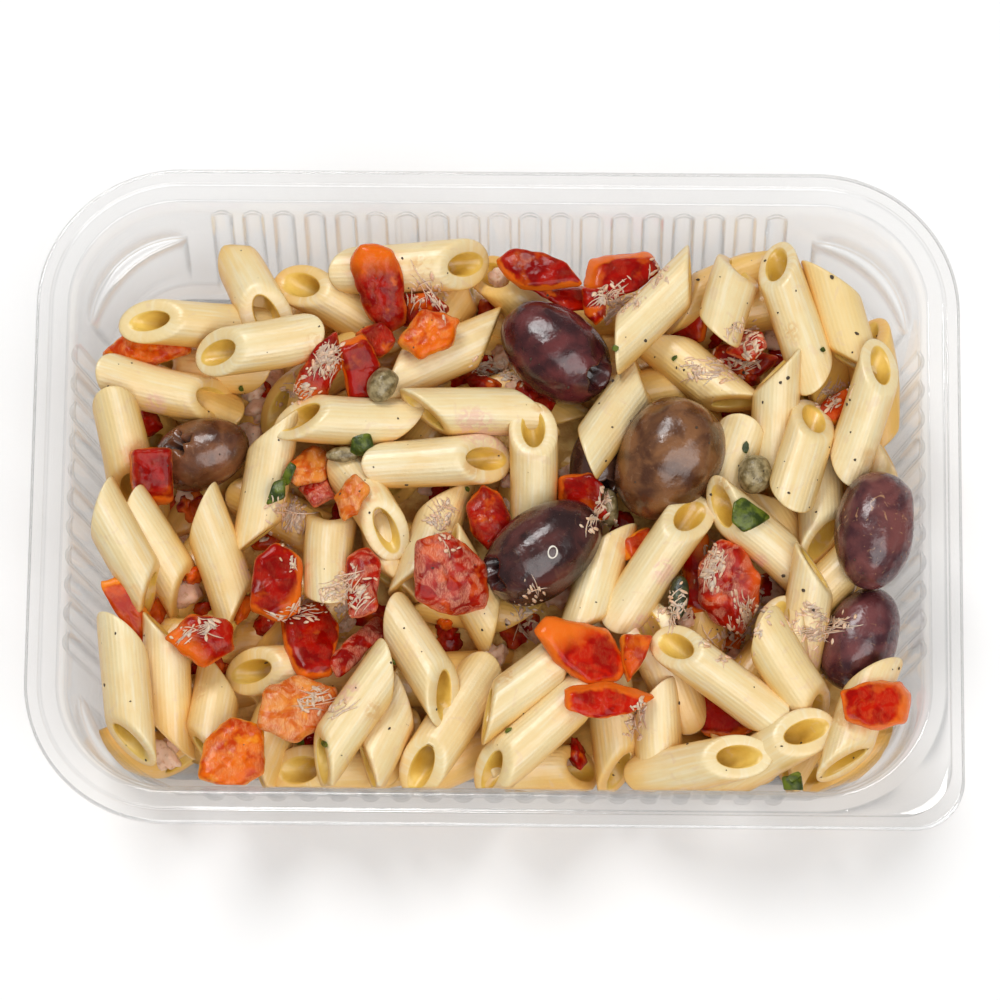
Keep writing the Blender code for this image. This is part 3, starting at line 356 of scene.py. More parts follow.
# Tuna: x, y, how wide and deep the shreds lie, their heading and number
TUNA = (
    (0, 27.8, 7, 2.0, 10, 8), (-31, -21.5, 5, 6, 60, 16), (-37.5, -22.8, 6, 1.6, 0, 5),
    (48, -28, 6, 5, 60, 6), (33, 50, 4, 5, 80, 8), (25.5, 43.5, 7, 4, 40, 10),
    (51, 36.5, 4, 3, 30, 6), (47, 29.5, 8, 4, 20, 12),
    (68.5, 22.5, 3, 3, 60, 5), (21, -2, 2.5, 4, 80, 5), (36, -20, 3, 4, 55, 6), (51, -24, 4, 6, 100, 10),
    (63.5, -26.5, 3, 3, 0, 5), (-11, -5, 3, 5, 120, 6), (28.5, -43, 3, 4, 80, 6), (6, -23, 4, 5, 120, 8),
    (-41.5, -3.5, 4, 8, 90, 12), (68, -24, 4, 4, 0, 6), (-35, 29, 2.5, 4, 60, 10), (-40, 24, 3, 3, 40, 6),
    (-14, 44, 4, 4, 120, 6), (44, -12, 3, 6, 80, 8), (-60, -26.5, 5, 3, 30, 4), (-35.5, -41, 6, 4, 20, 4),
)
# Scraps of herb: x, y and size
HERBS = (
    (50.3, 12.3, 2.6), (-36, 52, 3.0), (-38.5, -49.5, 3.2), (60, -56, 3.2), (-33.5, -50, 2.6), (24, 33, 1.8),
    (3, -47, 1.8), (66, 33, 1.6), (-52, 24, 1.6), (-20, -33, 1.8), (36, 31, 1.5), (-6, 3, 1.5),
)
# A ring of onion: x, y, width, depth and thickness
ONION = (11.5, -10, 2.4, 1.8, 0.34)

# Colours
# Pasta colours; the palest also paints light on the high, upward-facing parts
PASTA_LIGHT = (0.85, 0.77, 0.55)
PASTA_PALE = (0.83, 0.665, 0.335)
PASTA_DEEP = (0.82, 0.605, 0.24)
PASTA_WARM = (0.81, 0.54, 0.18)
# Painted shade: a deeper yellow for the low pasta and where it faces sideways
PASTA_PAINTED_SHADE = (0.80, 0.44, 0.09)
# The bore's inside, deeper yellow and darker than the outside: painted shade and bounced light
BORE_PALE = (0.85, 0.58, 0.12)
BORE_DEEP = (0.64, 0.36, 0.035)
PENNE_DEEP_YELLOW = (0.82, 0.50, 0.06)
PINK_SMEAR = (0.78, 0.46, 0.33)
TAN_SMEAR = (0.70, 0.42, 0.16)
# Penne coloured a deeper yellow, and how much
YELLOW_PENNE = {
    "57": 0.9, "52": 0.55, "53": 0.6, "54": 0.55, "22": 0.4,
    "39": 0.4, "05": 0.3, "66": 0.35, "56": 0.3, "01": 0.25,
}
# Smears on the reading level: x, y and radius
PINK_SMEARS = (
    (-4.5, 16.5, 4.2), (0.5, 14.5, 2.5), (34, -14, 2.8), (37, -20, 2.4), (-69.8, 22, 2.2),
    (30, -24, 2.6), (12, 24, 2.0),
    (-29, -40, 2.4), (53, -12, 2.6), (22, 47, 2.2), (-50, -12, 2.6), (64, -30, 2.4),
)
TAN_SMEARS = (
    (-63.4, 18.9, 2.4), (-16, 50.3, 2.8), (-37, 33, 2.0), (-72, 12, 2.4), (9, 21, 1.8),
    (46, 4, 2.0), (-5, 8, 1.8), (2, -36, 2.4), (30, -34, 2.2), (70, -44, 2.6), (-24, -44, 2.0),
    (60, 36, 2.0), (76, 10, 2.2), (-60, -38, 2.2),
)
# Brown near the olives and orange near the red pieces
OLIVE_NEAR_BROWN = (0.40, 0.20, 0.06)
PEPPER_NEAR_ORANGE = (0.78, 0.28, 0.05)
SPOT_BROWN = (0.16, 0.08, 0.03)
SMEAR = (0.74, 0.52, 0.34)
# Kinds of red pepper and tomato: deep and bright flesh, cut rim, fibres and how much of them shows
PEPPER_COLOURS = {
    "skin": ((0.22, 0.001, 0.0001), (0.37, 0.004, 0.0002), (0.78, 0.15, 0.006), (0.84, 0.36, 0.16), 0.06),
    "coarse": ((0.52, 0.040, 0.0008), (0.76, 0.14, 0.003), (0.86, 0.32, 0.015), (0.90, 0.48, 0.18), 0.3),
    "rimmed": ((0.33, 0.002, 0.0001), (0.53, 0.009, 0.0003), (0.82, 0.16, 0.010), (0.88, 0.42, 0.15), 0.08),
    "orange": ((0.43, 0.018, 0.0005), (0.64, 0.075, 0.002), (0.84, 0.24, 0.01), (0.88, 0.45, 0.18), 0.12),
    "pulp": ((0.23, 0.001, 0.0002), (0.41, 0.007, 0.0003), (0.76, 0.14, 0.005), (0.84, 0.32, 0.14), 0.12),
    "pink": ((0.25, 0.002, 0.0005), (0.43, 0.012, 0.002), (0.72, 0.10, 0.010), (0.80, 0.36, 0.22), 0.6),
    "tan": ((0.56, 0.09, 0.006), (0.76, 0.26, 0.04), (0.72, 0.18, 0.015), (0.86, 0.52, 0.26), 0.55),
}
PULPS = ("pulp", "pink", "tan", "coarse")
# Where the orange rim starts and is full
RIM_REACHES = {"rimmed": (0.7, 1.05), "pulp": (1.1, 1.5), "skin": (0.95, 1.2)}
# Pulp's and skin's share of blotches, width of ripples, depth of pits and roughness
PULP_LOOK = (0.7, 0.9, 0.03, (0.1, 0.26))
SKIN_LOOK = (0.35, 1.8, 0.02, (0.08, 0.2))
CHIP_LOOKS = {
    "scraps": "pulp", "pepper_01": "pulp", "pepper_02": "pulp", "pepper_03": "coarse",
    "pepper_05": "pulp", "pepper_09": "pulp", "pepper_10": "orange", "pepper_12": "coarse",
    "pepper_13": "tan", "pepper_15": "pink", "pepper_17": "pink", "pepper_18": "pulp",
    "pepper_19": "orange", "pepper_20": "coarse", "pepper_21": "tan", "pepper_22": "pink",
    "pepper_23": "pulp", "pepper_25": "rimmed", "pepper_26": "rimmed", "pepper_27": "orange",
    "pepper_28": "orange", "pepper_29": "pink", "pepper_31": "rimmed", "pepper_33": "pink",
    "pepper_34": "pulp", "pepper_35": "pink", "pepper_36": "pulp", "pepper_37": "tan",
    "pepper_38": "pulp",
}
# Forms of the flat pieces: fullness, roughness, how far corners are cut, the outline's swell and the lean
SKIN_FORM = (9.0, 0.42, 0.08, 1.10, 0.7)
PULP_FORM = (4.6, 0.62, 0.08, 1.12, 0.3)
LEAF_FORM = (12.0, 0.12, 0.1, 1.0, 0.0)
SLAB_HEIGHTS = (0.995, 0.98, 0.95, 0.9, 0.82, 0.7, 0.55, 0.36, 0.18)
# Where a chip turns orange: the way to that side, and how far from its middle that starts and ends
CHIP_FADES = {
    "pepper_01": (100, 1.5, 6.0), "pepper_05": (240, 2.0, 6.0), "pepper_07": (180, 3.5, 6.5),
    "pepper_09": (200, 3.0, 6.5), "pepper_11": (265, 3.8, 5.6), "pepper_14": (-30, 3.0, 5.0),
    "pepper_18": (215, 0.5, 4.0), "pepper_25": (120, 1.5, 5.0), "pepper_29": (10, 3.0, 5.5),
    "pepper_30": (30, 1.0, 3.0),
}
# Where the top of a chip is shifted to, so that its opposite cut side shows
CHIP_LEANS = {
    "pepper_11": (0.1, 0.9), "pepper_14": (-0.7, 0.8), "pepper_16": (0.3, 0.9), "pepper_25": (0.9, -0.2),
    "pepper_07": (0.7, -0.7), "pepper_06": (0.2, 0.9), "pepper_30": (0.5, 0.8), "pepper_32": (-0.5, 0.8),
}
OLIVE_FLESH = (0.42, 0.22, 0.11)
# Pit holes: the way that each faces, its half angle and how far its lobes add to that
OLIVE_PITS = {
    "olive_6": ((-0.62, 0.12, 0.78), 0.17, 0.26), "olive_1": ((0.80, -0.52, 0.25), 0.30, 0.05),
    "olive_3": ((-0.86, -0.44, 0.25), 0.24, 0.12), "olive_7": ((0.2, -0.8, 0.5), 0.25, 0.05),
}
# Each olive's deep and light skin, and how much of its flesh shows through
OLIVE_LOOKS = {
    "olive_1": ((0.034, 0.006, 0.008), (0.13, 0.024, 0.024), 0.15),
    "olive_2": ((0.080, 0.026, 0.009), (0.23, 0.095, 0.033), 0.25),
    "olive_3": ((0.024, 0.006, 0.006), (0.095, 0.024, 0.020), 0.1),
    "olive_4": ((0.055, 0.013, 0.018), (0.17, 0.05, 0.045), 0.8),
    "olive_5": ((0.050, 0.012, 0.018), (0.16, 0.045, 0.045), 0.4),
    "olive_6": ((0.070, 0.022, 0.009), (0.20, 0.075, 0.030), 0.25),
    "olive_7": ((0.040, 0.014, 0.010), (0.11, 0.045, 0.026), 0.2),
}
# Painted shade inside an olive's pit hole
PIT_PAINTED_SHADE = (0.02, 0.008, 0.008)
TUNA_PALE = (0.86, 0.60, 0.43)
TUNA_DEEP = (0.80, 0.46, 0.30)
TUNA_BROWN = (0.62, 0.32, 0.16)
CAPER_GREY = ((0.14, 0.10, 0.035), (0.36, 0.28, 0.14))
CAPER_DARK = ((0.008, 0.013, 0.003), (0.045, 0.055, 0.014))
# Deep and light patches
# The mound's oily brown is partly painted shade for the deep gaps
CORE_COLOURS = ((0.64, 0.33, 0.07), (0.80, 0.50, 0.14))
LEAF_COLOURS = ((0.024, 0.042, 0.002), (0.12, 0.155, 0.010))
SPECK_COLOURS = ((0.02, 0.014, 0.01), (0.10, 0.06, 0.03))
ONION_COLOURS = ((0.75, 0.68, 0.55), (0.9, 0.86, 0.78))
LEAF_CUT = (0.20, 0.27, 0.06)
PLASTIC_CLEAR = (0.965, 0.962, 0.958)
PLASTIC_EDGE = (0.83, 0.827, 0.825)
# Painted shade: a grey for the dark lines where the clear sheet bends
PLASTIC_BEND = (0.89, 0.89, 0.89)
# Share of light mirrored where the sheet faces the eye, and what is added where it is seen edge on or bends
PLASTIC_SHINE = (0.03, 0.5, 0.2)
HAZE = 0.026
PLASTIC_MILK = (0.9, 0.91, 0.92)
WHITE = (1.0, 1.0, 1.0, 1.0)
FLOOR_COLOURS = ((0.94, 0.94, 0.94), (0.92, 0.92, 0.915))

# Studio, in metres: the floor's half side and the point that the lights aim at
FLOOR_REACH = 1.6
LIGHT_AIM = (0, 0, 0.02)
# Light: the surroundings' strength at the horizon and overhead, then each light's name, place, size and power
WORLD_LIGHT = (0.17, 0.34)
LIGHTS = (
    ("key", (-0.30, 0.72, 1.02), (0.6, 0.4), 6.6),
    ("glint", (-0.34, 0.44, 1.1), (0.14, 0.14), 1.0),
    ("fill", (0.4, -0.6, 1.1), (1.3, 1.1), 12.2),
)

# Camera: elevation, azimuth and roll, the point that it aims at, its distance and its focal length in widths
# of the picture
CAMERA_ANGLES = (74.80, 2.56, -2.01)
CAMERA_AIM = (0.81, 0.27, 30)
CAMERA_DISTANCE = 1136
CAMERA_ZOOM = 5.633
SENSOR = 36


# How far the middles of the tray's round corners are from its own middle
CORNER_MIDDLE = np.array([TRAY_LENGTH / 2 - CORNER, TRAY_WIDTH / 2 - CORNER])


def inner_wall(z):
    """The inset of the tray's inner wall at a height."""
    share = np.clip((z - WALL_FOOT) / (WALL_TOP - WALL_FOOT), 0.0, 1.0)
    foot = np.clip(1.0 - (z - WALL) / (WALL_FOOT - WALL), 0.0, 1.0) * (FLOOR_INSET - WALL_FOOT_INSET)
    return WALL_FOOT_INSET + share * (WALL_TOP_INSET - WALL_FOOT_INSET) + foot


# How the pieces lie


def kind_of(name):
    return name.split("_")[0]


def pieces_of(*kinds):
    """Each piece of those kinds: its number in the order, its name and its values."""
    for index, (name, *values) in enumerate(PIECES):
        if kind_of(name) in kinds:
            yield index, name, values


def heading_of(degrees):
    return np.array([math.cos(math.radians(degrees)), math.sin(math.radians(degrees))])


def sight(x, y, z):
    """Where a point seen at x, y on the reading level lies if its height is z."""
    share = (z - READING_LEVEL) / (VIEWPOINT[2] - READING_LEVEL)
    return x + (VIEWPOINT[0] - x) * share, y + (VIEWPOINT[1] - y) * share


def bed_height(x, y):
    """The top of the hidden salad, which falls off to the mound's sides."""
    edge = 0.0
    for direction, reach in MOUND_SIDES:
        angle = math.radians(direction)
        edge = np.maximum(edge, (x * math.cos(angle) + y * math.sin(angle)) / reach)
    return WALL + BED_DEPTH * np.maximum(0.0, 1.0 - edge**6)


def inside_outline(x, y, outline):
    inside = False
    for (ax, ay), (bx, by) in zip(outline, outline[1:] + outline[:1]):
        if (ay > y) != (by > y) and x < ax + (y - ay) * (bx - ax) / (by - ay):
            inside = not inside
    return inside


def rod_spheres(x, y, heading, half, width, length):
    """Spheres along a rod: an olive's or caper's get smaller to its ends."""
    places = np.linspace(-half, half, max(3, round(2 * half / SAMPLE_STEP) + 1))
    flat = heading_of(heading)
    shares = np.ones(len(places)) if length is None else np.sqrt(1 - (2 * places / length) ** 2)
    return np.array([x, y]), np.outer(places, flat), shares * width / 2, flat


def chip_spheres(thickness, outline):
    """Spheres over a flat piece's outline."""
    middle = np.mean(outline, axis=0)
    shrunk = [tuple(middle + CHIP_SHRINK * (np.array(corner) - middle)) for corner in outline]
    low, high = np.min(outline, axis=0), np.max(outline, axis=0)
    places = [np.array(corner) - middle for corner in shrunk]
    for x in np.arange(low[0], high[0], SAMPLE_STEP):
        for y in np.arange(low[1], high[1], SAMPLE_STEP):
            if inside_outline(x, y, shrunk):
                places.append(np.array([x, y]) - middle)
    return middle, np.array(places), np.full(len(places), thickness / 2), None


def sphere_model(name, values):
    """A piece's middle, its spheres' offsets and radii, and its way where it is a rod."""
    kind = kind_of(name)
    if kind == "penne":
        return rod_spheres(*values[:3], (values[3] - PENNE_RUN) / 2, 2 * PENNE_RADIUS, None)
    if kind in EGGS:
        x, y, heading, length, width = values
        return rod_spheres(x, y, heading, length * ROD_SHARE, width, length)
    return chip_spheres(values[0], values[1:])


def stated_slope(name, values):
    """The slope of a penne that doesn't simply rest on what is below."""
    if kind_of(name) == "penne" and len(values) > 5:
        return math.tan(math.radians(values[5]))
    return math.nan


class Salad:
    """All pieces as spheres on rigid rods and plates, in the order in which they lie on each other."""

    def __init__(self):
        count = len(PIECES)
        middles, offsets, radii, ways = zip(*(sphere_model(name, values) for name, *values in PIECES))
        self.home = np.array(middles)
        self.owner = np.repeat(np.arange(count), [len(part) for part in offsets])
        self.offsets = np.concatenate(offsets)
        self.radii = np.concatenate(radii)
        self.size = np.bincount(self.owner, minlength=count)
        self.rod = np.array([way is not None for way in ways])
        self.axis = np.array([(0.0, 0.0) if way is None else way for way in ways])
        self.fixed = np.array([stated_slope(name, values) for name, *values in PIECES])
        self.move = np.zeros((count, 2))
        self.height = np.full(count, READING_LEVEL)
        self.slope = np.zeros((count, 2))
        self.keep_stated_slopes()
        self.pairs = self.neighbours()
        self.aim = self.aims()

    def keep_stated_slopes(self):
        stated = ~np.isnan(self.fixed)
        self.slope[stated] = self.axis[stated] * self.fixed[stated, None]

    def spread(self):
        """The offsets of the spheres seen from above, shorter where their piece is tilted."""
        return self.offsets / np.sqrt(1 + (self.slope**2).sum(axis=1))[self.owner, None]

    def heights(self):
        return self.height[self.owner] + (self.slope[self.owner] * self.spread()).sum(axis=1)

    def plan(self):
        """Every sphere's place seen from above."""
        seen = self.home[self.owner] + self.spread()
        return np.column_stack(sight(seen[:, 0], seen[:, 1], self.heights())) + self.move[self.owner]

    def neighbours(self):
        """Pairs of spheres of two pieces that can touch, the upper piece's first."""
        plan = self.plan()
        apart = np.hypot(*(plan[:, None] - plan[None]).transpose(2, 0, 1))
        near = apart < self.radii[:, None] + self.radii[None] + NEAR
        upper, lower = np.nonzero(near & (self.owner[:, None] > self.owner[None]))
        return upper, lower

    def aims(self):
        """The height that each piece tends to: the more of its neighbours lie under it, the higher."""
        plan = self.plan()
        upper, lower = self.pairs
        apart = np.hypot(*(plan[upper] - plan[lower]).T)
        crossing = apart < CROSSING * (self.radii[upper] + self.radii[lower])
        links = set(zip(self.owner[upper[crossing]], self.owner[lower[crossing]]))
        below, above = (np.bincount(ends, minlength=len(self.home)) for ends in zip(*links))
        share = (below + 1.0) / (below + above + 2.0)
        return LOW_AIM + (HIGH_AIM - LOW_AIM) * share

    def per_piece(self, owners, values):
        return np.bincount(owners, weights=values, minlength=len(self.home))

    def press(self, share):
        """One step of pushing pieces off each other, with the order kept, and letting them sink."""
        plan, heights = self.plan(), self.heights()
        upper, lower = self.pairs
        between = plan[upper] - plan[lower]
        apart = np.maximum(np.hypot(*between.T), 1e-6)
        reach = SOFT * (self.radii[upper] + self.radii[lower])
        needed = np.sqrt(np.maximum(reach**2 - apart**2, 0.0))
        short = np.clip(needed - (heights[upper] - heights[lower]), 0.0, reach)
        short[apart >= reach] = 0.0
        spheres = len(self.owner)
        lift = np.zeros(spheres)
        for index, sign in ((upper, 0.5), (lower, -0.5)):
            total = np.bincount(index, weights=short, minlength=spheres)
            touches = np.bincount(index, weights=short > 0, minlength=spheres)
            lift += sign * total / np.maximum(touches, 1)
        bed = bed_height(plan[:, 0], plan[:, 1]) + BURIED * self.radii
        lift = np.maximum(lift, bed - heights)
        rise = self.per_piece(self.owner, lift) / self.size
        self.height += share * (rise + PULL * (self.aim - self.height))
        for axis in (0, 1):
            arm = self.offsets[:, axis]
            turn = self.per_piece(self.owner, lift * arm)
            inertia = self.per_piece(self.owner, (self.offsets**2).sum(axis=1)) / np.where(self.rod, 1, 2)
            self.slope[:, axis] += share * turn / np.maximum(inertia, 1e-6)
        along = (self.slope * self.axis).sum(axis=1)[:, None] * self.axis
        self.slope = np.where(self.rod[:, None], along, self.slope) * (1 - 0.5 * PULL)
        steep = np.maximum(np.hypot(*self.slope.T) / STEEPEST, 1.0)
        self.slope /= steep[:, None]
        self.keep_stated_slopes()
        sideways = between / apart[:, None] * (short * apart / reach)[:, None]
        for axis in (0, 1):
            push = self.per_piece(self.owner[upper], sideways[:, axis])
            push -= self.per_piece(self.owner[lower], sideways[:, axis])
            touches = sum(self.per_piece(self.owner[side], short > 0) for side in (upper, lower))
            self.move[:, axis] += share * SIDEWAYS * push / np.maximum(touches, 1)
        far = np.maximum(np.hypot(*self.move.T) / MOST_MOVE, 1.0)
        self.move /= far[:, None]
        tops = np.full(len(self.home), -np.inf)
        np.maximum.at(tops, self.owner, self.heights() + self.radii)
        self.height -= np.maximum(tops - CEILING, 0.0)

    def keep_off_walls(self):
        """Moves each piece sideways until its spheres clear the tray's wall."""
        for _ in range(3):
            plan, heights = self.plan(), self.heights()
            inset = inner_wall(heights)
            corner = CORNER - inset
            over = np.maximum(np.abs(plan) - CORNER_MIDDLE, 0.0)
            reach = np.hypot(*over.T)
            outside = np.maximum(reach + self.radii - PRESSED - corner, 0.0)
            outside[reach == 0] = 0.0
            push = -np.sign(plan) * over / np.maximum(reach, 1e-6)[:, None] * outside[:, None]
            for index in np.unique(self.owner[outside > 0]):
                mine = np.nonzero(self.owner == index)[0]
                self.move[index] += push[mine[outside[mine].argmax()]]

    def settle(self):
        for step in range(STEPS):
            self.press(1.0 - (1.0 - SLOWEST) * step / STEPS)
            if (step + 1) % WALL_TURN == 0:
                self.keep_off_walls()

    def middle(self, index):
        x, y = sight(*self.home[index], self.height[index])
        return Vector((x + self.move[index][0], y + self.move[index][1], self.height[index]))

    def direction(self, index):
        mine = np.nonzero(self.owner == index)[0][[0, -1]]
        ends = np.column_stack([self.plan()[mine], self.heights()[mine]])
        return Vector(ends[1] - ends[0]).normalized()


def frame_matrix(middle, direction, roll):
    """A turn of +X to a direction and of +Z, the cut's side, away from upwards by the roll."""
    side = Vector((-direction.y, direction.x, 0.0)).normalized()
    up = direction.cross(side)
    turn = Matrix((direction, side, up)).transposed().to_4x4()
    return Matrix.Translation(middle) @ turn @ Euler((math.radians(roll), 0, 0)).to_matrix().to_4x4()


# Meshes


class Batch:
    """Many small closed shapes gathered into one mesh, with named values for each vertex."""

    def __init__(self, *names):
        self.names = names
        self.verts, self.faces, self.count = [], [], 0
        self.values = {name: [] for name in names}

    def add(self, verts, faces, **values):
        verts = np.asarray(verts, float)
        if shape_volume(verts, faces) < 0:
            faces = [face[::-1] for face in faces]
        self.verts.append(verts)
        self.faces += [[index + self.count for index in face] for face in faces]
        self.count += len(verts)
        for name in self.names:
            self.values[name].append(np.broadcast_to(np.asarray(values[name], float), len(verts)))

    def make(self, name, material, slot=None, nodes=()):
        mesh = bpy.data.meshes.new(name)
        mesh.from_pydata((np.concatenate(self.verts) * MM).tolist(), [], self.faces)
        for key in self.names:
            attribute = mesh.attributes.new(key, "FLOAT", "POINT")
            attribute.data.foreach_set("value", np.concatenate(self.values[key]).astype(np.float32))
        mesh.shade_smooth()
        mesh.materials.append(material)
        piece = bpy.data.objects.new(name, mesh)
        bpy.context.scene.collection.objects.link(piece)
        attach(piece, "root")
        if nodes:
            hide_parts(*nodes)
        return piece


def shape_volume(verts, faces):
    """Six times a closed shape's volume, below zero where its faces point in."""
    fans = ((face, step) for face in faces for step in range(1, len(face) - 1))
    corners = np.array([(face[0], face[step], face[step + 1]) for face, step in fans])
    middle = verts.mean(axis=0)
    a, b, c = (verts[corners[:, axis]] - middle for axis in range(3))
    return (a * np.cross(b, c)).sum()


def loft(rings, closed=False):
    """A surface through rings of points with as many points each; an open one gets a lid on each end."""
    count, around = len(rings), len(rings[0])
    faces = []
    for ring in range(count if closed else count - 1):
        after = (ring + 1) % count
        for side in range(around):
            beside = (side + 1) % around
            corners = ((ring, side), (ring, beside), (after, beside), (after, side))
            faces.append([line * around + place for line, place in corners])
    if not closed:
        faces.append(list(range(around))[::-1])
        faces.append(list(range((count - 1) * around, count * around)))
    return np.concatenate(rings), faces


def lumps(points, size, strength, seed):
    """Smooth noise for each point, from about -strength to strength."""
    shift = Vector((seed * 7.31, seed * 3.77, seed * 5.13))
    return np.array([strength * noise.noise(Vector(point) / size + shift) for point in np.asarray(points)])


def moved(points, matrix):
    turn = np.array(matrix)
    return points @ turn[:3, :3].T + turn[:3, 3]


def fitted_in_tray(points):
    """The points, with those that reach through the tray's wall or floor pressed flat against it."""
    points = points.copy()
    points[:, 2] = np.maximum(points[:, 2], WALL + GAP)
    corner = CORNER - inner_wall(points[:, 2]) - 2 * GAP
    over = np.maximum(np.abs(points[:, :2]) - CORNER_MIDDLE, 0.0)
    reach = np.hypot(*over.T)
    outside = np.maximum(reach - corner, 0.0) / np.maximum(reach, 1e-6)
    points[:, :2] -= np.sign(points[:, :2]) * over * outside[:, None]
    return points


# Penne


def penne_shape(length, seed, around, steps):
    """A tube with slanting ends and oval bores: points, faces, and each point's depth inside and turn."""
    draw = random.Random(seed)
    angle = np.arange(around) * math.tau / around
    flat = draw.uniform(-0.05, 0.03)
    size = draw.uniform(0.96, 1.01)
    inner_wide, inner_high = BORE_WIDE * draw.uniform(0.85, 1.12), BORE_HIGH * draw.uniform(0.9, 1.08)

    def ring(wide, high, shift, end):
        y, z = wide * np.cos(angle), high * np.sin(angle)
        slant = PENNE_RUN / 2 * (1 + end * z / PENNE_RADIUS)
        return np.column_stack([end * (length / 2 - slant - shift), y, z])

    wide, high = PENNE_RADIUS * size * (1 - flat), PENNE_RADIUS * size * (1 + flat)
    deepest = length / 2 - PENNE_RUN / 2 - 1
    ends = []
    for end in (1, -1):
        bore = []
        for shift, part in PENNE_BORE:
            bore.append(ring(inner_wide * part, inner_high * part, min(shift, deepest + 0.02 * shift), end))
        ends.append(bore[::-1] + [ring(wide + inset, high + inset, shift, end) for shift, inset in PENNE_LIP])
    front, back = ends
    middle = [front[-1] + (back[-1] - front[-1]) * share for share in np.linspace(0, 1, steps + 2)[1:-1]]
    rings = front + middle + back[::-1]
    points, faces = loft(rings)
    inside = np.repeat((*PENNE_DEPTHS, *[0.0] * steps, *PENNE_DEPTHS[::-1]), around)
    share = points[:, 0] / (length / 2)
    bend = (draw.uniform(-0.7, 0.7), draw.uniform(-0.5, 0.5))
    points[:, 1] *= 1 + 0.05 * np.sin(1.7 * share + 2.1 * seed)
    points[:, 1] += bend[0] * share**2 + 0.2 * np.sin(2.5 * share + seed)
    points[:, 2] += bend[1] * share**2
    return points, faces, {
        "inside": inside,
        "side": np.tile(np.cos(angle), len(rings)),
        "top": np.tile(np.sin(angle), len(rings)),
        "along": share * length / 2,
    }


def nearness(points, sources, reach):
    """How near each point is to the nearest source, from 0 to 1."""
    result = np.zeros(len(points))
    for start in range(0, len(points), BLOCK):
        block = points[start:start + BLOCK]
        apart = ((block[:, None] - sources[None])**2).sum(axis=2)
        result[start:start + BLOCK] = np.exp(-apart.min(axis=1) / reach**2)
    return result


def colouring(salad):
    """Where the olives and the red pieces are: both colour the pasta that they touch."""
    spheres = np.column_stack([salad.plan(), salad.heights()])
    kinds = np.array([kind_of(name) for name, *_ in PIECES])[salad.owner]
    return spheres[kinds == "olive"], spheres[kinds == "pepper"]


def smeared(points, smears):
    """How far each point is inside one of the smears that are seen on top, from 0 to 1."""
    result = np.zeros(len(points))
    for x, y, radius in smears:
        apart = (points[:, 0] - x)**2 + (points[:, 1] - y)**2
        result = np.maximum(result, np.exp(-apart / radius**2))
    return result * (points[:, 2] > SMEARS_ABOVE)


def add_penne(batch, name, shape, matrix, tinting):
    """Lays a penne into the tray, coloured brown near the olives and orange near the red pieces."""
    points, faces, values = shape
    points = fitted_in_tray(moved(points, matrix))
    batch.add(
        points,
        faces,
        **values,
        tone=random.Random("tone" + name).random(),
        yolk=YELLOW_PENNE.get(name, LOWER_SHADE_YELLOW if name.startswith("below") else 0.0),
        pink=smeared(points, PINK_SMEARS),
        tan=smeared(points, TAN_SMEARS),
        brown=nearness(points, tinting[0], BROWN_REACH),
        orange=nearness(points, tinting[1], ORANGE_REACH),
    )


def make_penne(salad, tinting):
    """The visible penne, each where its solid lies, in three pieces."""
    batches = [Batch(*PENNE_VALUES) for _ in range(3)]
    for order, (index, name, values) in enumerate(pieces_of("penne")):
        number = name.split("_")[1]
        shape = penne_shape(values[3], int(number) + 1, PENNE_AROUND, PENNE_STEPS)
        matrix = frame_matrix(salad.middle(index), salad.direction(index), values[4])
        add_penne(batches[order % len(batches)], number, shape, matrix, tinting)
    for order, batch in enumerate(batches):
        yield batch.make(f"penne_{order + 1}", pasta_material(), "penne", ["penne_heap"])


def along_rectangle(distance, half):
    """A place on a rectangle's outline, and the heading there."""
    x, y = -half[0], -half[1]
    for along_x, along_y in ((1, 0), (0, 1), (-1, 0), (0, -1)):
        length = 2 * (half[0] if along_x else half[1])
        if distance <= length:
            break
        x, y, distance = x + along_x * length, y + along_y * length, distance - length
    return x + along_x * distance, y + along_y * distance, math.degrees(math.atan2(along_y, along_x))


def lower_places(draw):
    """Middles and headings of penne in the lower layers: rows along the walls, and scattered ones inside."""
    places = []
    for level, inset, spacing in LOWER_ROWS:
        half = (TRAY_LENGTH / 2 - inset, TRAY_WIDTH / 2 - inset)
        around = 4 * sum(half)
        for step in range(round(around / spacing)):
            x, y, heading = along_rectangle(step * spacing, half)
            places.append((Vector((x, y, level + draw.uniform(-1.0, 1.0))), heading + draw.uniform(-28, 28)))
    for _ in range(INNER_PENNE):
        place = Vector([draw.uniform(*reach) for reach in INNER_SPACE])
        places.append((place, draw.uniform(0, 360)))
    return places


def make_lower_penne(salad, tinting):
    """Penne of the lower layers, as far as the gaps and the clear walls let them be seen."""
    draw = random.Random("lower")
    spheres = np.column_stack([salad.plan(), salad.heights()])
    batch = Batch(*PENNE_VALUES)
    laid = np.empty((0, 3))
    for number, (middle, heading) in enumerate(lower_places(draw)):
        length = draw.uniform(*LOWER_LENGTHS)
        axis = Vector((*heading_of(heading), draw.uniform(-0.12, 0.12)))
        axis.normalize()
        roll = draw.uniform(0, 360)
        if middle.x < EMPTY_CORNER[0] and middle.y > EMPTY_CORNER[1]:
            continue
        places = np.array([middle + axis * share * length for share in LOWER_SHARES])
        apart = np.sqrt(((spheres[None] - places[:, None])**2).sum(axis=2))
        if (salad.radii[None] + PENNE_RADIUS - apart).max() > DEEPEST_CROSSING:
            continue
        if len(laid) and np.sqrt(((laid[None] - places[:, None])**2).sum(axis=2)).min() < LOWER_APART:
            continue
        laid = np.concatenate([laid, places])
        shape = penne_shape(length, 100 + number, LOWER_AROUND, LOWER_STEPS)
        add_penne(batch, f"below {number}", shape, frame_matrix(middle, axis, roll), tinting)
    return batch.make("penne_below", pasta_material(), "penne", ["penne_heap"])


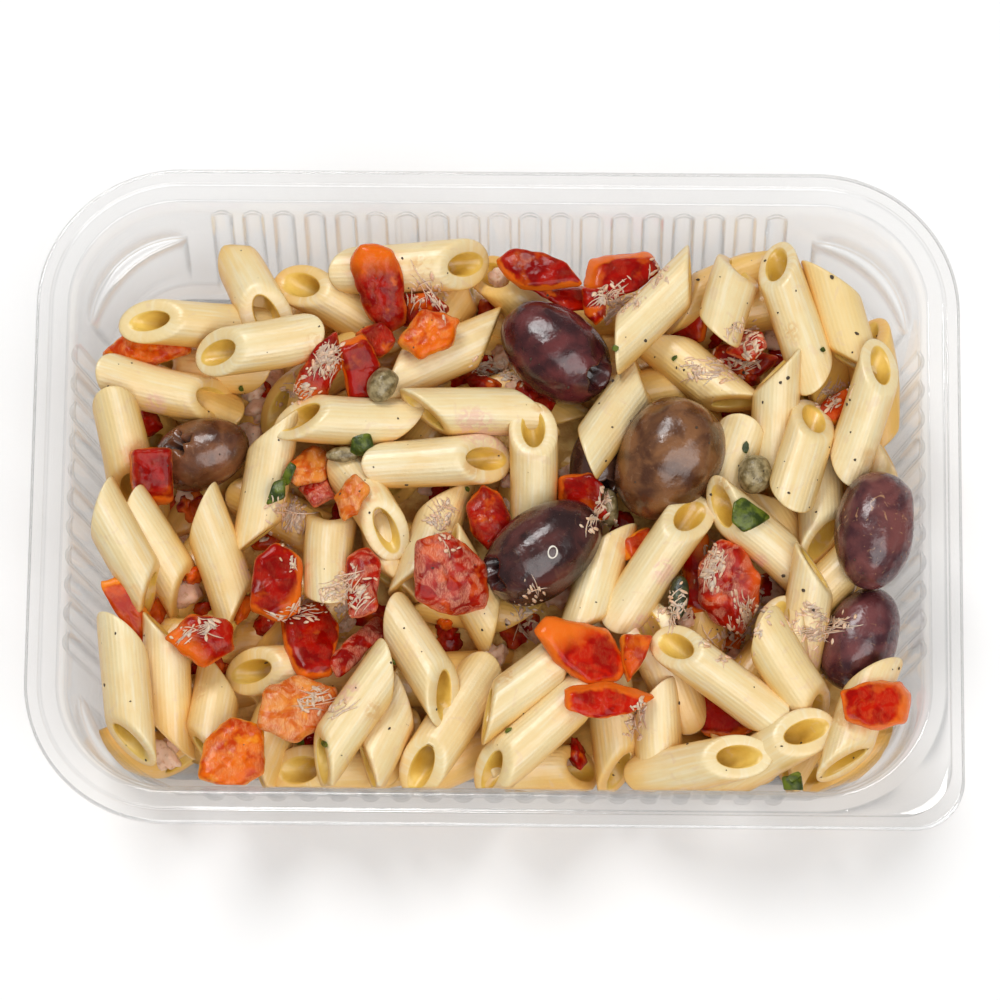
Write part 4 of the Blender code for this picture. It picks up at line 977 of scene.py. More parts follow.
def make_core():
    """The dark inside of the salad between the pieces, a lumpy mound; its dark colour is partly painted shade
    for the deep gaps.
    """
    angle = np.arange(CORE_AROUND) * math.tau / CORE_AROUND
    reach = np.full(CORE_AROUND, 1e9)
    for direction, distance in MOUND_SIDES:
        facing = np.cos(angle - math.radians(direction))
        side = (distance - CORE_INSET) / np.maximum(facing, 0.05)
        reach = np.minimum(reach, np.where(facing > 0.05, side, 1e9))
    foot = 0.02 * reach
    rings = [np.column_stack([foot * np.cos(angle), foot * np.sin(angle), np.full(CORE_AROUND, CORE_LOW)])]
    for share in np.linspace(0, 0.98, CORE_RINGS):
        x, y = reach * (1 - share) * np.cos(angle), reach * (1 - share) * np.sin(angle)
        rough = 1 + lumps(np.column_stack([x, y, 0 * x]), *CORE_LUMPS, 3)
        rings.append(np.column_stack([x, y, CORE_LOW + CORE_DEPTH * (1 - (1 - share)**6) * rough]))
    points, faces = loft(rings)
    batch = Batch()
    batch.add(fitted_in_tray(points), faces)
    return batch.make("salad_core", core_material(), "penne", ["penne_heap"])


# Toppings


def smooth_outline(corners, count, cut):
    """A closed line of evenly spaced points along a polygon; corners are cut by that share of a side."""
    line = np.array(corners, float)
    for _ in range(3):
        after = np.roll(line, -1, axis=0)
        line = np.stack([line + cut * (after - line), after + cut * (line - after)], axis=1).reshape(-1, 2)
    after = np.roll(line, -1, axis=0)
    ends = np.concatenate([[0], np.cumsum(np.hypot(*(after - line).T))])
    places = np.linspace(0, ends[-1], count, endpoint=False)
    index = np.clip(np.searchsorted(ends, places, side="right") - 1, 0, len(line) - 1)
    share = (places - ends[index]) / np.maximum(ends[index + 1] - ends[index], 1e-9)
    return line[index] + (after[index] - line[index]) * share[:, None]


def slab(outline, thickness, seed, form, around=SLAB_AROUND):
    """A soft flat piece over an outline: its middle, points and faces, and how near the rim each point is."""
    fullness, rough, cut, swell, lean = form
    draw = random.Random(seed)
    middle = np.mean(outline, axis=0)
    edge = (smooth_outline(outline, around, cut) - middle) * swell
    widest = max(np.hypot(*edge.T).max(), 1e-6)
    shoulder = [((1 - height**2)**(1 / fullness), height) for height in SLAB_HEIGHTS]
    upper = [(0.03, 1.0)] + [(shoulder[0][0] * share, 1.0) for share in SLAB_INNER] + shoulder + [(1.0, 0.0)]
    heading, tilt = draw.uniform(0, math.tau), draw.uniform(0, math.tau)
    shift = np.array(CHIP_LEANS.get(seed, (lean * math.cos(tilt), lean * math.sin(tilt))))
    cup = draw.uniform(-0.6, 1.0) * min(1.0, widest / 7) * (0.4 + rough)
    rings, rims = [], []
    for share, height in upper + [(share, -height) for share, height in upper[-2::-1]]:
        flat = edge * share * (1 - 0.05 * lean * height) + shift * height
        across = flat @ np.array([math.cos(heading), math.sin(heading)]) / widest
        rings.append(np.column_stack([flat, thickness / 2 * height + cup * (across**2 - 0.3)]))
        rims.append(np.full(around, 0.55 * share**3 + 0.45 * (1 - abs(height))))
    points, faces = loft(rings)
    rim = np.concatenate(rims)
    start = draw.random() * 9
    outward = points / np.maximum(np.linalg.norm(points, axis=1), 1e-6)[:, None]
    for axis, size in ((0, 3.0), (1, 2.6), (2, 2.8)):
        points[:, axis] += lumps(points, size, 0.8 * rough, start + axis) * (0.5 + 0.5 * rim)
    for size, strength in SLAB_CREASES:
        crease = np.abs(lumps(points, size, 1.0, start + 10 * size)) - 0.2
        points += outward * (crease * strength * rough)[:, None] * [0.7, 0.7, 1.2]
    return middle, points, faces, rim


def lay_flat(salad, index, middle, points):
    """Points of a flat piece on its tilted plane, seen where its outline says."""
    local = points[:, :2]
    z = salad.height[index] + local @ salad.slope[index] + points[:, 2]
    x, y = sight(middle[0] + local[:, 0], middle[1] + local[:, 1], z)
    return np.column_stack([x + salad.move[index][0], y + salad.move[index][1], z])


def make_chips(salad):
    """Red pepper, dried tomato and leaves, each a piece of its own."""
    for index, name, values in pieces_of("pepper", "leaf"):
        kind = kind_of(name)
        form = PULP_FORM if CHIP_LOOKS.get(name, "skin") in PULPS else SKIN_FORM
        if kind == "leaf":
            form = LEAF_FORM
        middle, points, faces, rim = slab(values[1:], values[0], name, form)
        if kind == "leaf":
            away = np.hypot(*points[:, :2].T)
            wave = 0.15 * np.sin(1.1 * points[:, 0] + len(name))
            points[:, 2] += LEAF_DOME * (1 - (away / away.max())**2) + wave
        heading, start, end = CHIP_FADES.get(name, (0, FAR_OFF, FAR_OFF + 1))
        fade = np.clip((points[:, :2] @ heading_of(heading) - start) / (end - start), 0, 1)
        batch = Batch("rim", "fade")
        batch.add(fitted_in_tray(lay_flat(salad, index, middle, points)), faces, rim=rim, fade=fade)
        look = leaf_material(name) if kind == "leaf" else pepper_material(name)
        yield batch.make(name + "_look", look, kind, [name])


def egg(length, width, around, rings, seed, wrinkle):
    """An olive's or caper's body along +X: rings of points, and how far along each ring is."""
    draw = random.Random(seed)
    angle = np.arange(around) * math.tau / around
    starts = draw.random() * 9, draw.random() * 9
    result = []
    for place in np.linspace(0.04, math.pi - 0.04, rings):
        fuller = 1 + 0.07 * math.cos(place)
        girth = math.sin(place)**0.88 * fuller * width / 2
        along = np.full(around, math.cos(place) * length / 2)
        ring = np.column_stack([along, girth * np.cos(angle), girth * np.sin(angle)])
        drawn = ring * [0.5, 1, 1]
        grow = 1 + lumps(drawn, 4.5, 0.04, starts[0]) + lumps(drawn, 1.6, wrinkle, starts[1])
        result.append(ring * np.column_stack([grow**0.3, grow, grow]))
    return result


def pit_hole(name, points, middle):
    """An olive's points, sunk into the torn hole that its pit came out of, and how deep each one is."""
    if name not in OLIVE_PITS:
        return points, np.zeros(len(points))
    facing, mouth, lobes = OLIVE_PITS[name]
    facing = np.array(Vector(facing).normalized())
    first = np.array(Vector(facing).orthogonal().normalized())
    second = np.cross(facing, first)
    away = points - np.array(middle)
    away /= np.linalg.norm(away, axis=1)[:, None]
    turn = np.arctan2(away @ second, away @ first)
    reach = mouth + lobes * np.abs(np.cos(2 * turn + len(name)))**3 + 0.03 * np.cos(5 * turn + 1)
    sunk = np.clip((reach - np.arccos(np.clip(away @ facing, -1, 1))) / PIT_EDGE, -1, 1)
    lip = PIT_LIP * np.clip(1 - np.abs(sunk + 0.35) / 0.65, 0, 1)
    deep = np.clip(sunk, 0, 1)
    return points + facing * (lip - PIT_SUNK * deep)[:, None], deep


def make_olives(salad):
    """Olives and capers, each a piece of its own."""
    for index, name, values in pieces_of(*EGGS):
        kind = kind_of(name)
        around, steps, wrinkle = EGGS[kind]
        points, faces = loft(egg(*values[3:5], around, steps, name, wrinkle))
        middle = salad.middle(index)
        points = fitted_in_tray(moved(points, frame_matrix(middle, salad.direction(index), 0)))
        points, hole = pit_hole(name, points, middle)
        batch = Batch("hole")
        batch.add(points, faces, hole=hole)
        look = olive_material(name) if kind == "olive" else caper_material(name)
        yield batch.make(name + "_look", look, kind, [name])


# Small bits on the salad


class Surface:
    """The top of the food, to lay small bits on."""

    def __init__(self, pieces):
        verts, faces = [], []
        for item in pieces:
            faces += [[index + len(verts) for index in face.vertices] for face in item.data.polygons]
            verts += [vert.co / MM for vert in item.data.vertices]
        self.tree = BVHTree.FromPolygons(verts, faces)

    def at(self, x, y):
        """The point and normal of the food that is seen at x, y on the reading level."""
        eye = Vector(VIEWPOINT)
        point, normal, _, _ = self.tree.ray_cast(eye, (Vector((x, y, READING_LEVEL)) - eye).normalized())
        if point is None:
            return None, None
        return point, normal if normal.dot(eye - point) > 0 else -normal

    def lay(self, x, y, points, spin, size=1.0, lift=0.0, levels=(0.0, FAR_OFF)):
        """A small shape's points on the food seen at x, y, or nothing where that isn't between two levels."""
        point, normal = self.at(x, y)
        if point is None or not levels[0] < point.z < levels[1]:
            return None
        turn = normal.to_track_quat("Z", "Y").to_matrix().to_4x4() @ Matrix.Rotation(spin, 4, "Z")
        return moved(points, Matrix.Translation(point + normal * size * lift) @ turn)


def outward_lumps(points, size, strength, seed):
    """Moves along each point's own direction that crumple a lump."""
    outward = points / np.maximum(np.linalg.norm(points, axis=1), 1e-6)[:, None]
    return outward * (np.abs(lumps(points, size, strength, 9 * seed)) - 0.2 * strength)[:, None]


def crumb(draw, size, splits=2):
    """A small irregular lump: points and faces."""
    bm = bmesh.new()
    bmesh.ops.create_icosphere(bm, subdivisions=splits, radius=size / 2)
    stretch = np.array([draw.uniform(0.7, 1.3), draw.uniform(0.6, 1.0), draw.uniform(0.4, 0.7)])
    points = np.array([vert.co for vert in bm.verts]) * stretch
    faces = [[vert.index for vert in face.verts] for face in bm.faces]
    bm.free()
    points *= (1 + lumps(points, size * 0.4, 0.5, draw.random() * 9))[:, None]
    return points, faces


def make_specks(surface):
    """Ground black pepper."""
    draw = random.Random("specks")
    batch = Batch()
    places = [(x, y, SEEN_SPECK_SIZE) for x, y in SEEN_SPECKS]
    for _ in range(SPECKS):
        places.append([draw.uniform(*reach) for reach in (*SPECK_AREA, SPECK_SIZES)])
    for x, y, size in places:
        points, faces = crumb(draw, size)
        points = surface.lay(x, y, points, draw.uniform(0, math.tau), size, 0.12, SPECK_LEVELS)
        if points is not None:
            batch.add(points, faces)
    return batch.make("pepper_specks", speck_material())


def strand(surface, x, y, heading, length, width, draw, arch):
    """A shred that follows the food under it: points and faces, or nothing where there is no food."""
    path = []
    curl = draw.uniform(-0.6, 0.6)
    for share in np.linspace(-0.5, 0.5, STRAND_STEPS):
        turn = heading + curl * share
        point, normal = surface.at(x + share * length * math.cos(turn), y + share * length * math.sin(turn))
        if point is None:
            return None
        path.append(point)
    path = np.array(path)
    if np.ptp(path[:, 2]) > STRAND_STEEPEST * length:
        return None
    for _ in range(3):
        eased = (path[:-2] + 2 * path[1:-1] + path[2:]) / 4
        path[1:-1] = np.where(eased[:, 2:] > path[1:-1, 2:], eased, path[1:-1])
    ahead = np.gradient(path, axis=0)
    ahead /= np.linalg.norm(ahead, axis=1)[:, None]
    side = np.cross(ahead, [0, 0, 1.0])
    side /= np.linalg.norm(side, axis=1)[:, None]
    rise = np.cross(side, ahead)
    angles = np.arange(STRAND_AROUND) * math.tau / STRAND_AROUND
    grooves = np.array([draw.uniform(0.86, 1.14) for _ in angles])
    ragged = np.array([draw.uniform(-0.05, 0.05) * length for _ in angles])
    rings = []
    for step, share in enumerate(np.linspace(-1, 1, STRAND_STEPS)):
        thick = width / 2 * (1 - abs(share)**4) + 0.04
        girth = thick * grooves * np.array([draw.uniform(0.92, 1.08) for _ in angles])
        lift = path[step] + rise[step] * (0.22 * width + arch * math.cos(share * math.pi / 2))
        rings.append(
            lift
            + np.outer(np.cos(angles) * girth, side[step])
            + np.outer(0.55 * np.sin(angles) * girth, rise[step])
            + np.outer(ragged * abs(share)**2 * np.sign(share), ahead[step])
        )
    return loft(rings)


def shred(surface, draw, middle, turn):
    """One shred of tuna: a bundle of short fibres with flakes on it and now and then a loose hair."""
    made = []
    along, across = np.array([[math.cos(turn), math.sin(turn)], [-math.sin(turn), math.cos(turn)]])
    for _ in range(TUNA_FIBRES):
        x, y = middle + across * draw.gauss(0, 0.8) + along * draw.gauss(0, 0.9)
        length, width = draw.uniform(1.2, 3.0) + draw.expovariate(0.9), draw.uniform(*FIBRE_WIDTHS)
        heading = turn + draw.gauss(0, 0.12)
        made.append(strand(surface, x, y, heading, length, width, draw, draw.uniform(0, 0.15)))
    for _ in range(TUNA_CRUMBS):
        x, y = middle + across * draw.gauss(0, 0.9) + along * draw.gauss(0, 1.5)
        size, spin = draw.uniform(*CRUMB_SIZES), turn + draw.gauss(0, 0.3)
        points, faces = crumb(draw, size)
        points = surface.lay(x, y, points * CRUMB_FORM, spin, size, 0.1)
        if points is not None:
            made.append((points, faces))
    if draw.random() < LOOSE_SHARE:
        length, heading = draw.uniform(*LOOSE_LENGTHS), draw.uniform(0, math.tau)
        made.append(strand(surface, *middle, heading, length, LOOSE_WIDTH, draw, draw.uniform(0.2, 1.2)))
    return made


def make_tuna(surface):
    """Tuna in shreds."""
    draw = random.Random("tuna")
    batch = Batch("tone")
    for x, y, wide, deep, heading, count in TUNA:
        for _ in range(count):
            middle = np.array([x + draw.gauss(0, 0.42) * wide, y + draw.gauss(0, 0.42) * deep])
            turn = math.radians(heading + draw.gauss(0, 14))
            for shape in shred(surface, draw, middle, turn):
                tone = draw.random()
                if shape:
                    batch.add(*shape, tone=tone)
    return batch.make("tuna_shreds", tuna_material())


def make_scraps(surface):
    """Scraps of pepper, tomato and tuna that fill the gaps between the penne, in two pieces."""
    draw = random.Random("scraps")
    batches = {"rim": Batch("rim"), "tone": Batch("tone")}
    for _ in range(SCRAPS):
        x, y = (draw.uniform(*reach) for reach in SCRAP_AREA)
        value = "rim" if draw.random() < PULP_SHARE else "tone"
        points, faces = crumb(draw, draw.uniform(*SCRAP_SIZES), 3)
        points += outward_lumps(points, 1.6, 1.5, draw.random())
        points = surface.lay(x, y, points, draw.uniform(0, math.tau), levels=SCRAP_LEVELS)
        if points is None or any(math.dist((x, y), mouth[:2]) < mouth[2] for mouth in CLEAR_MOUTHS):
            continue
        batches[value].add(fitted_in_tray(points), faces, **{value: draw.random()})
    yield batches["rim"].make("pepper_scraps", pepper_material("scraps"))
    yield batches["tone"].make("tuna_scraps", tuna_material())


def make_herbs(surface):
    """Scraps of green herb."""
    draw = random.Random("herbs")
    batch = Batch("rim")
    for x, y, size in HERBS:
        corners = []
        for turn in np.arange(7) * math.tau / 7:
            wide, deep = size * draw.uniform(0.35, 0.6), size * draw.uniform(0.2, 0.45)
            corners.append((wide * math.cos(turn), deep * math.sin(turn)))
        _, points, faces, rim = slab(corners, HERB_THICK, draw.random(), LEAF_FORM, HERB_AROUND)
        points = surface.lay(x, y, points, draw.uniform(0, math.tau), lift=0.25)
        if points is not None:
            batch.add(points, faces, rim=rim)
    return batch.make("herb_scraps", leaf_material("herbs"), "leaf")


def make_onion(surface):
    """A little ring of onion on an olive."""
    x, y, wide, deep, thick = ONION
    loop = np.arange(12) * math.tau / 12
    rings = []
    for turn in np.arange(36) * math.tau / 36:
        out = np.array([wide / 2 * math.cos(turn), deep / 2 * math.sin(turn), 0.0])
        flat = out / np.hypot(*out[:2])
        girth = thick / 2 * (1 + 0.2 * math.sin(3 * turn))
        rings.append(out + girth * (np.cos(loop)[:, None] * flat + 0.9 * np.sin(loop)[:, None] * [0, 0, 1.0]))
    points, faces = loft(rings, closed=True)
    batch = Batch()
    batch.add(surface.lay(x, y, points, 0.4, thick, 0.25), faces)
    return batch.make("onion", onion_material())


# Tray


def tray_levels():
    """The inner profile from the rim to the floor: inset, height and how fluted."""
    low = TRAY_HEIGHT - STEP
    corners = [
        (0.0, TRAY_HEIGHT - RIM_LIP, 0), (0.0, TRAY_HEIGHT, 0), (BAND, TRAY_HEIGHT, 0),
        (BAND + STEP, low, 0), (LEDGE, low, 0),
        (WALL_TOP_INSET, WALL_TOP, 0), (WALL_TOP_INSET + 0.3, FLUTE_TOP + 0.6, 0),
    ]
    fall = (WALL_FOOT_INSET - WALL_TOP_INSET - 0.3) / (FLUTE_TOP - WALL_FOOT)
    shoulder = (SHOULDER_TOP + 0.3, SHOULDER_TOP, SHOULDER_TOP - 0.15, SHOULDER_TOP - 0.45)
    for z in (*(FLUTE_TOP - drop for drop in FLUTE_DROPS), *shoulder, *WALL_RINGS, WALL_FOOT):
        corners.append((WALL_TOP_INSET + 0.3 + fall * (FLUTE_TOP - z), z, 1))
    corners += [(WALL_FOOT_INSET + 0.9, WALL + 1.0, 0.5), (FLOOR_INSET, WALL, 0), (FLOOR_INSET + 2.2, WALL, 0)]
    line = np.array(corners, float)
    softened = [line[0]]
    for before, corner, after in zip(line, line[1:], line[2:]):
        reach = [np.hypot(*(other - corner)[:2]) for other in (before, after)]
        (in_x, in_z), (out_x, out_z) = (corner - before)[:2], (after - corner)[:2]
        straight = abs(in_x * out_z - in_z * out_x) < 0.02 * reach[0] * reach[1]
        if straight or min(reach) < LEAST_STRETCH:
            softened.append(corner)
            continue
        for other, length, widths in ((before, reach[0], GUARDS), (after, reach[1], GUARDS[::-1])):
            softened += [corner + (other - corner) * min(0.7 * width, width / length) for width in widths]
    return np.array(softened + [line[-1]])


def tray_outline(inset):
    """Stations round the tray: place, outward direction, corner share and distance to the nearest flute."""
    half = (TRAY_LENGTH / 2 - inset, TRAY_WIDTH / 2 - inset)
    # The near right corner is squarer on the flange's outer band
    square = np.clip((BAND + PEEL_EASE - inset) / PEEL_EASE, 0, 1)
    radii = [CORNER - inset] * 4
    radii[0] += (PEEL_CORNER - CORNER + inset) * square
    rows = []
    for corner, (sign_x, sign_y) in enumerate(((1, -1), (1, 1), (-1, 1), (-1, -1))):
        radius = radii[corner]
        middle = np.array([sign_x * (half[0] - radius), sign_y * (half[1] - radius)])
        for step in range(TRAY_CORNER_STEPS):
            share = step / TRAY_CORNER_STEPS
            out = heading_of(90.0 * (corner - 1 + share))
            rows.append((*(middle + radius * out), *out, share, FAR_OFF))
        out = heading_of(90.0 * corner)
        along = np.array([-out[1], out[0]])
        side = corner % 2
        start = radius - half[1 - side]
        run = half[1 - side] - radii[(corner + 1) % 4] - start
        steps = TRAY_SIDE_STEPS[side]
        for step in range(steps):
            place = start + run * step / steps
            flute = place / FLUTE_PITCH[side]
            apart = FAR_OFF
            if abs(flute) < FLUTES[side] / 2:
                apart = abs(flute - round(flute)) * FLUTE_PITCH[side]
            rows.append((*(along * place + out * half[side]), *out, 0.0, apart))
    return np.array(rows)


def tray_side(levels):
    """Rings of one face of the tray's wall."""
    rings = []
    for inset, z, fluted in levels:
        rows = tray_outline(inset)
        radius = FLUTE_WIDTH / 2
        reach = radius * math.sqrt(1 - min(max(1 - (FLUTE_TOP - z) / radius, 0), 1)**2)
        wave = np.sqrt(np.clip(1 - (rows[:, 5] / max(reach, 1e-6))**2, 0, 1))
        depth = FLUTE_DEPTH * fluted * wave * reach / radius
        shoulder = SHOULDER * np.sin(math.pi * rows[:, 4])**0.5
        shoulder = shoulder * np.clip((SHOULDER_TOP - z) / SHOULDER_EASE, 0, 1) * min(1, z / SHOULDER_FOOT)
        push = depth - np.where(rows[:, 4] > 0, shoulder, 0)
        flat = rows[:, :2] + rows[:, 2:4] * push[:, None]
        rings.append(np.column_stack([flat, np.full(len(flat), z)]))
    return rings


def sharpness(rings):
    """How sharply a surface bends at each point of its rings, from 0 to 1."""
    grid = np.array(rings)

    def turning(before, after):
        lengths = np.linalg.norm(before, axis=-1) * np.linalg.norm(after, axis=-1)
        return np.arccos(np.clip((before * after).sum(axis=-1) / np.maximum(lengths, 1e-9), -1, 1))

    result = np.zeros(grid.shape[:2])
    result[1:-1] = turning(grid[1:-1] - grid[:-2], grid[2:] - grid[1:-1]) / 0.9
    around = turning(grid - np.roll(grid, 1, axis=1), np.roll(grid, -1, axis=1) - grid)
    return np.clip(np.maximum(result, (around - 0.12) / 0.7), 0, 1).ravel()


def make_tray():
    """The tray as one closed sheet, from the floor's underside over the rim to its upper side."""
    inside = tray_levels()
    ahead = np.gradient(inside[:, :2], axis=0)
    normal = np.column_stack([ahead[:, 1], -ahead[:, 0]]) / np.hypot(*ahead.T)[:, None]
    outside = inside.copy()
    outside[:, :2] += normal * SHEET
    outside[0] = (0.0, inside[0, 1] - 0.1, 0)
    outside[:, 0] = np.maximum(outside[:, 0], 0.35)
    outside[-2:, 1] = 0.0
    outside[:, 1] = np.maximum(outside[:, 1], 0.0)
    outer, inner = tray_side(outside[::-1]), tray_side(inside)
    rings = [outer[0] * [share, share, 1] for share in FLOOR_RINGS[::-1]] + outer
    rings += inner + [inner[-1] * [share, share, 1] for share in FLOOR_RINGS]
    batch = Batch("bend")
    batch.add(*loft(rings), bend=sharpness(rings))
    return batch.make("tray_look", plastic_material(), "tray", ["tray"])


# Materials


class Look:
    """A material made by short calls, which build up its colour and its relief layer by layer."""

    def __init__(self, name):
        self.material = bpy.data.materials.new(name)
        self.material.use_nodes = True
        self.tree = self.material.node_tree
        self.tree.nodes.clear()
        self.place = self.add("TexCoord").outputs["Object"]
        self.colour = self.normal = None

    def add(self, kind, inputs=None, **settings):
        node = self.tree.nodes.new("ShaderNode" + kind)
        for key, value in settings.items():
            setattr(node, key, value)
        for key, value in (inputs or {}).items():
            if isinstance(value, bpy.types.NodeSocket):
                self.tree.links.new(value, node.inputs[key])
            else:
                node.inputs[key].default_value = value
        return node

    def value(self, name):
        return self.add("Attribute", attribute_name=name).outputs["Fac"]

    def noise(self, size, detail=3.0, stretch=None, distortion=0.0):
        """Noise whose patches are about that many millimetres wide."""
        place = self.place
        if stretch:
            place = self.add("Mapping", {"Vector": place, "Scale": stretch}).outputs["Vector"]
        inputs = {"Vector": place, "Scale": 1 / (size * MM), "Detail": detail, "Distortion": distortion}
        return self.add("TexNoise", inputs).outputs["Fac"]

    def streaks(self, wide, long, detail=3.0):
        """Noise drawn out along a tube, in millimetres, and different on each tube."""
        inputs = {0: self.value("side"), 1: self.value("top"), 2: self.value("along")}
        turned = self.add("CombineXYZ", inputs).outputs["Vector"]
        scale = (PENNE_RADIUS / wide, PENNE_RADIUS / wide, 1 / long)
        place = self.add("Mapping", {"Vector": turned, "Scale": scale}).outputs["Vector"]
        inputs = {"Vector": place, "W": self.times(self.value("tone"), 30.0), "Scale": 1.0, "Detail": detail}
        return self.add("TexNoise", inputs, noise_dimensions="4D").outputs["Fac"]

    def span(self, value, low, high, first=0.0, last=1.0):
        """A value's range from low to high, turned into first to last and kept there."""
        inputs = {"Value": value, "From Min": low, "From Max": high, "To Min": first, "To Max": last}
        return self.add("MapRange", inputs, interpolation_type="SMOOTHSTEP").outputs["Result"]

    def patches(self, size, detail, low, high, first=0.0, last=1.0, distortion=0.0):
        return self.span(self.noise(size, detail, distortion=distortion), low, high, first, last)

    def math(self, operation, *values):
        return self.add("Math", dict(enumerate(values)), operation=operation).outputs["Value"]

    def times(self, first, second):
        return self.math("MULTIPLY", first, second)

    def plus(self, first, second):
        return self.math("ADD", first, second)

    def mix(self, share, first, second):
        """A colour between two, each a colour output or three numbers."""
        inputs = {0: share}
        for key, colour in ((6, first), (7, second)):
            inputs[key] = colour if isinstance(colour, bpy.types.NodeSocket) else (*colour, 1.0)
        return self.add("Mix", inputs, data_type="RGBA").outputs[2]

    def cover(self, share, colour):
        """Covers the colour so far with another by a share."""
        self.colour = self.mix(share, self.colour, colour)

    def bump(self, height, distance, strength=1.0):
        """Lays relief over the one so far; the distance is in millimetres."""
        inputs = {"Height": height, "Distance": distance * MM, "Strength": strength}
        if self.normal is not None:
            inputs["Normal"] = self.normal
        self.normal = self.add("Bump", inputs).outputs["Normal"]

    def finish(self, roughness, coat=(0.0, 0.03), soft=None, specular=0.5):
        """Ends the material; coat: weight, roughness; soft: weight, reach and scale of the light inside."""
        inputs = {"Base Color": self.colour, "Roughness": roughness, "Normal": self.normal}
        inputs["Specular IOR Level"] = specular
        inputs["Coat Weight"], inputs["Coat Roughness"] = coat
        if soft:
            inputs["Subsurface Weight"], inputs["Subsurface Radius"], inputs["Subsurface Scale"] = soft
        shader = self.add("BsdfPrincipled", inputs)
        self.add("OutputMaterial", {"Surface": shader.outputs["BSDF"]})
        return self.material


@functools.cache
def pasta_material():
    look = Look("pasta")
    patch = look.noise(7.0, 4.0)
    fine = look.noise(1.2, 3.0)
    look.colour = look.mix(look.value("tone"), PASTA_PALE, PASTA_DEEP)
    look.cover(look.span(patch, 0.35, 0.7), PASTA_WARM)
    streak = look.streaks(0.9, 9.0)
    look.cover(look.span(streak, 0.48, 0.68, 0.0, 0.5), PASTA_LIGHT)
    look.cover(look.span(streak, 0.3, 0.46, 0.35, 0.0), PASTA_WARM)
    # A deeper yellow: on some penne, and on the lower ones as painted shade
    look.cover(look.value("yolk"), PENNE_DEEP_YELLOW)
    # Painted light and shade: paler cream on the high, upward-facing parts, a deeper yellow low down and where
    # the pasta faces sideways
    height = look.add("SeparateXYZ", {0: look.place}).outputs["Z"]
    facing = look.add("TexCoord").outputs["Normal"]
    upward = look.add("SeparateXYZ", {0: facing}).outputs["Z"]
    lit_top = look.times(look.span(height, 0.014, 0.027, 0.25, 1.0), look.span(upward, -0.1, 0.8, 0.15, 1.0))
    look.cover(look.span(lit_top, 0.5, 1.0, 0.0, 0.32), PASTA_LIGHT)
    look.cover(look.span(lit_top, 0.0, 1.0, 1.0, 0.0), PASTA_PAINTED_SHADE)
    # Painted shade and bounced light: the bore's inside is a darker, deeper yellow
    inner = look.mix(look.span(patch, 0.3, 0.7), BORE_PALE, BORE_DEEP)
    look.cover(look.span(look.value("inside"), 0.45, 0.9), inner)
    # Brown near the olives, orange near the red pieces, dark spots and smears
    near_olives = look.times(look.span(look.value("brown"), 0.15, 0.95), look.patches(3.2, 5.0, 0.38, 0.62))
    look.cover(look.times(near_olives, 0.5), OLIVE_NEAR_BROWN)
    red = look.times(look.span(look.value("orange"), 0.2, 1.0), look.patches(2.6, 5.0, 0.42, 0.66))
    look.cover(look.times(red, 0.6), PEPPER_NEAR_ORANGE)
    cells = look.add("TexVoronoi", {"Vector": look.place, "Scale": 1 / (3.1 * MM)}).outputs["Distance"]
    spots = look.span(cells, 0.03, 0.07, 1.0, 0.0)
    look.cover(look.times(look.times(spots, look.patches(9.0, 2.0, 0.52, 0.6)), 0.7), SPOT_BROWN)
    look.cover(look.times(look.patches(4.6, 6.0, 0.6, 0.68, distortion=1.2), 0.35), SMEAR)
    torn = look.patches(1.6, 6.0, 0.36, 0.56, distortion=1.0)
    for name, smear in (("pink", PINK_SMEAR), ("tan", TAN_SMEAR)):
        share = look.times(look.span(look.value(name), 0.25, 0.7), torn)
        look.cover(look.times(share, 0.8), smear)
    # Ridges along the tube, with painted shade in their valleys, then its grain
    turn = look.math("ARCTAN2", look.value("top"), look.value("side"))
    ridges = look.math("SINE", look.times(turn, float(PENNE_RIDGES)))
    ridges = look.times(ridges, look.span(look.value("inside"), 0.0, 0.3, 1.0, 0.0))
    # Painted shade: the ridges' valleys are a warmer, darker colour
    look.cover(look.span(ridges, -1.0, 0.4, 0.13, 0.0), PASTA_WARM)
    look.bump(fine, 0.16, 0.5)
    look.bump(ridges, RIDGE, 0.8)
    look.bump(look.streaks(0.5, 5.0), 0.09, 0.6)
    look.bump(look.noise(0.4, 4.0), 0.045, 0.8)
    return look.finish(look.patches(2.2, 4.0, 0.3, 0.7, 0.3, 0.52), coat=(0.6, 0.27))


def core_material():
    look = Look("salad_inside")
    # Partly painted shade: a darker, oily brown for the deep gaps between the pieces
    look.colour = look.mix(look.patches(5.0, 5.0, 0.4, 0.6), *CORE_COLOURS)
    look.bump(look.noise(2.0, 5.0), 0.8)
    return look.finish(0.5)


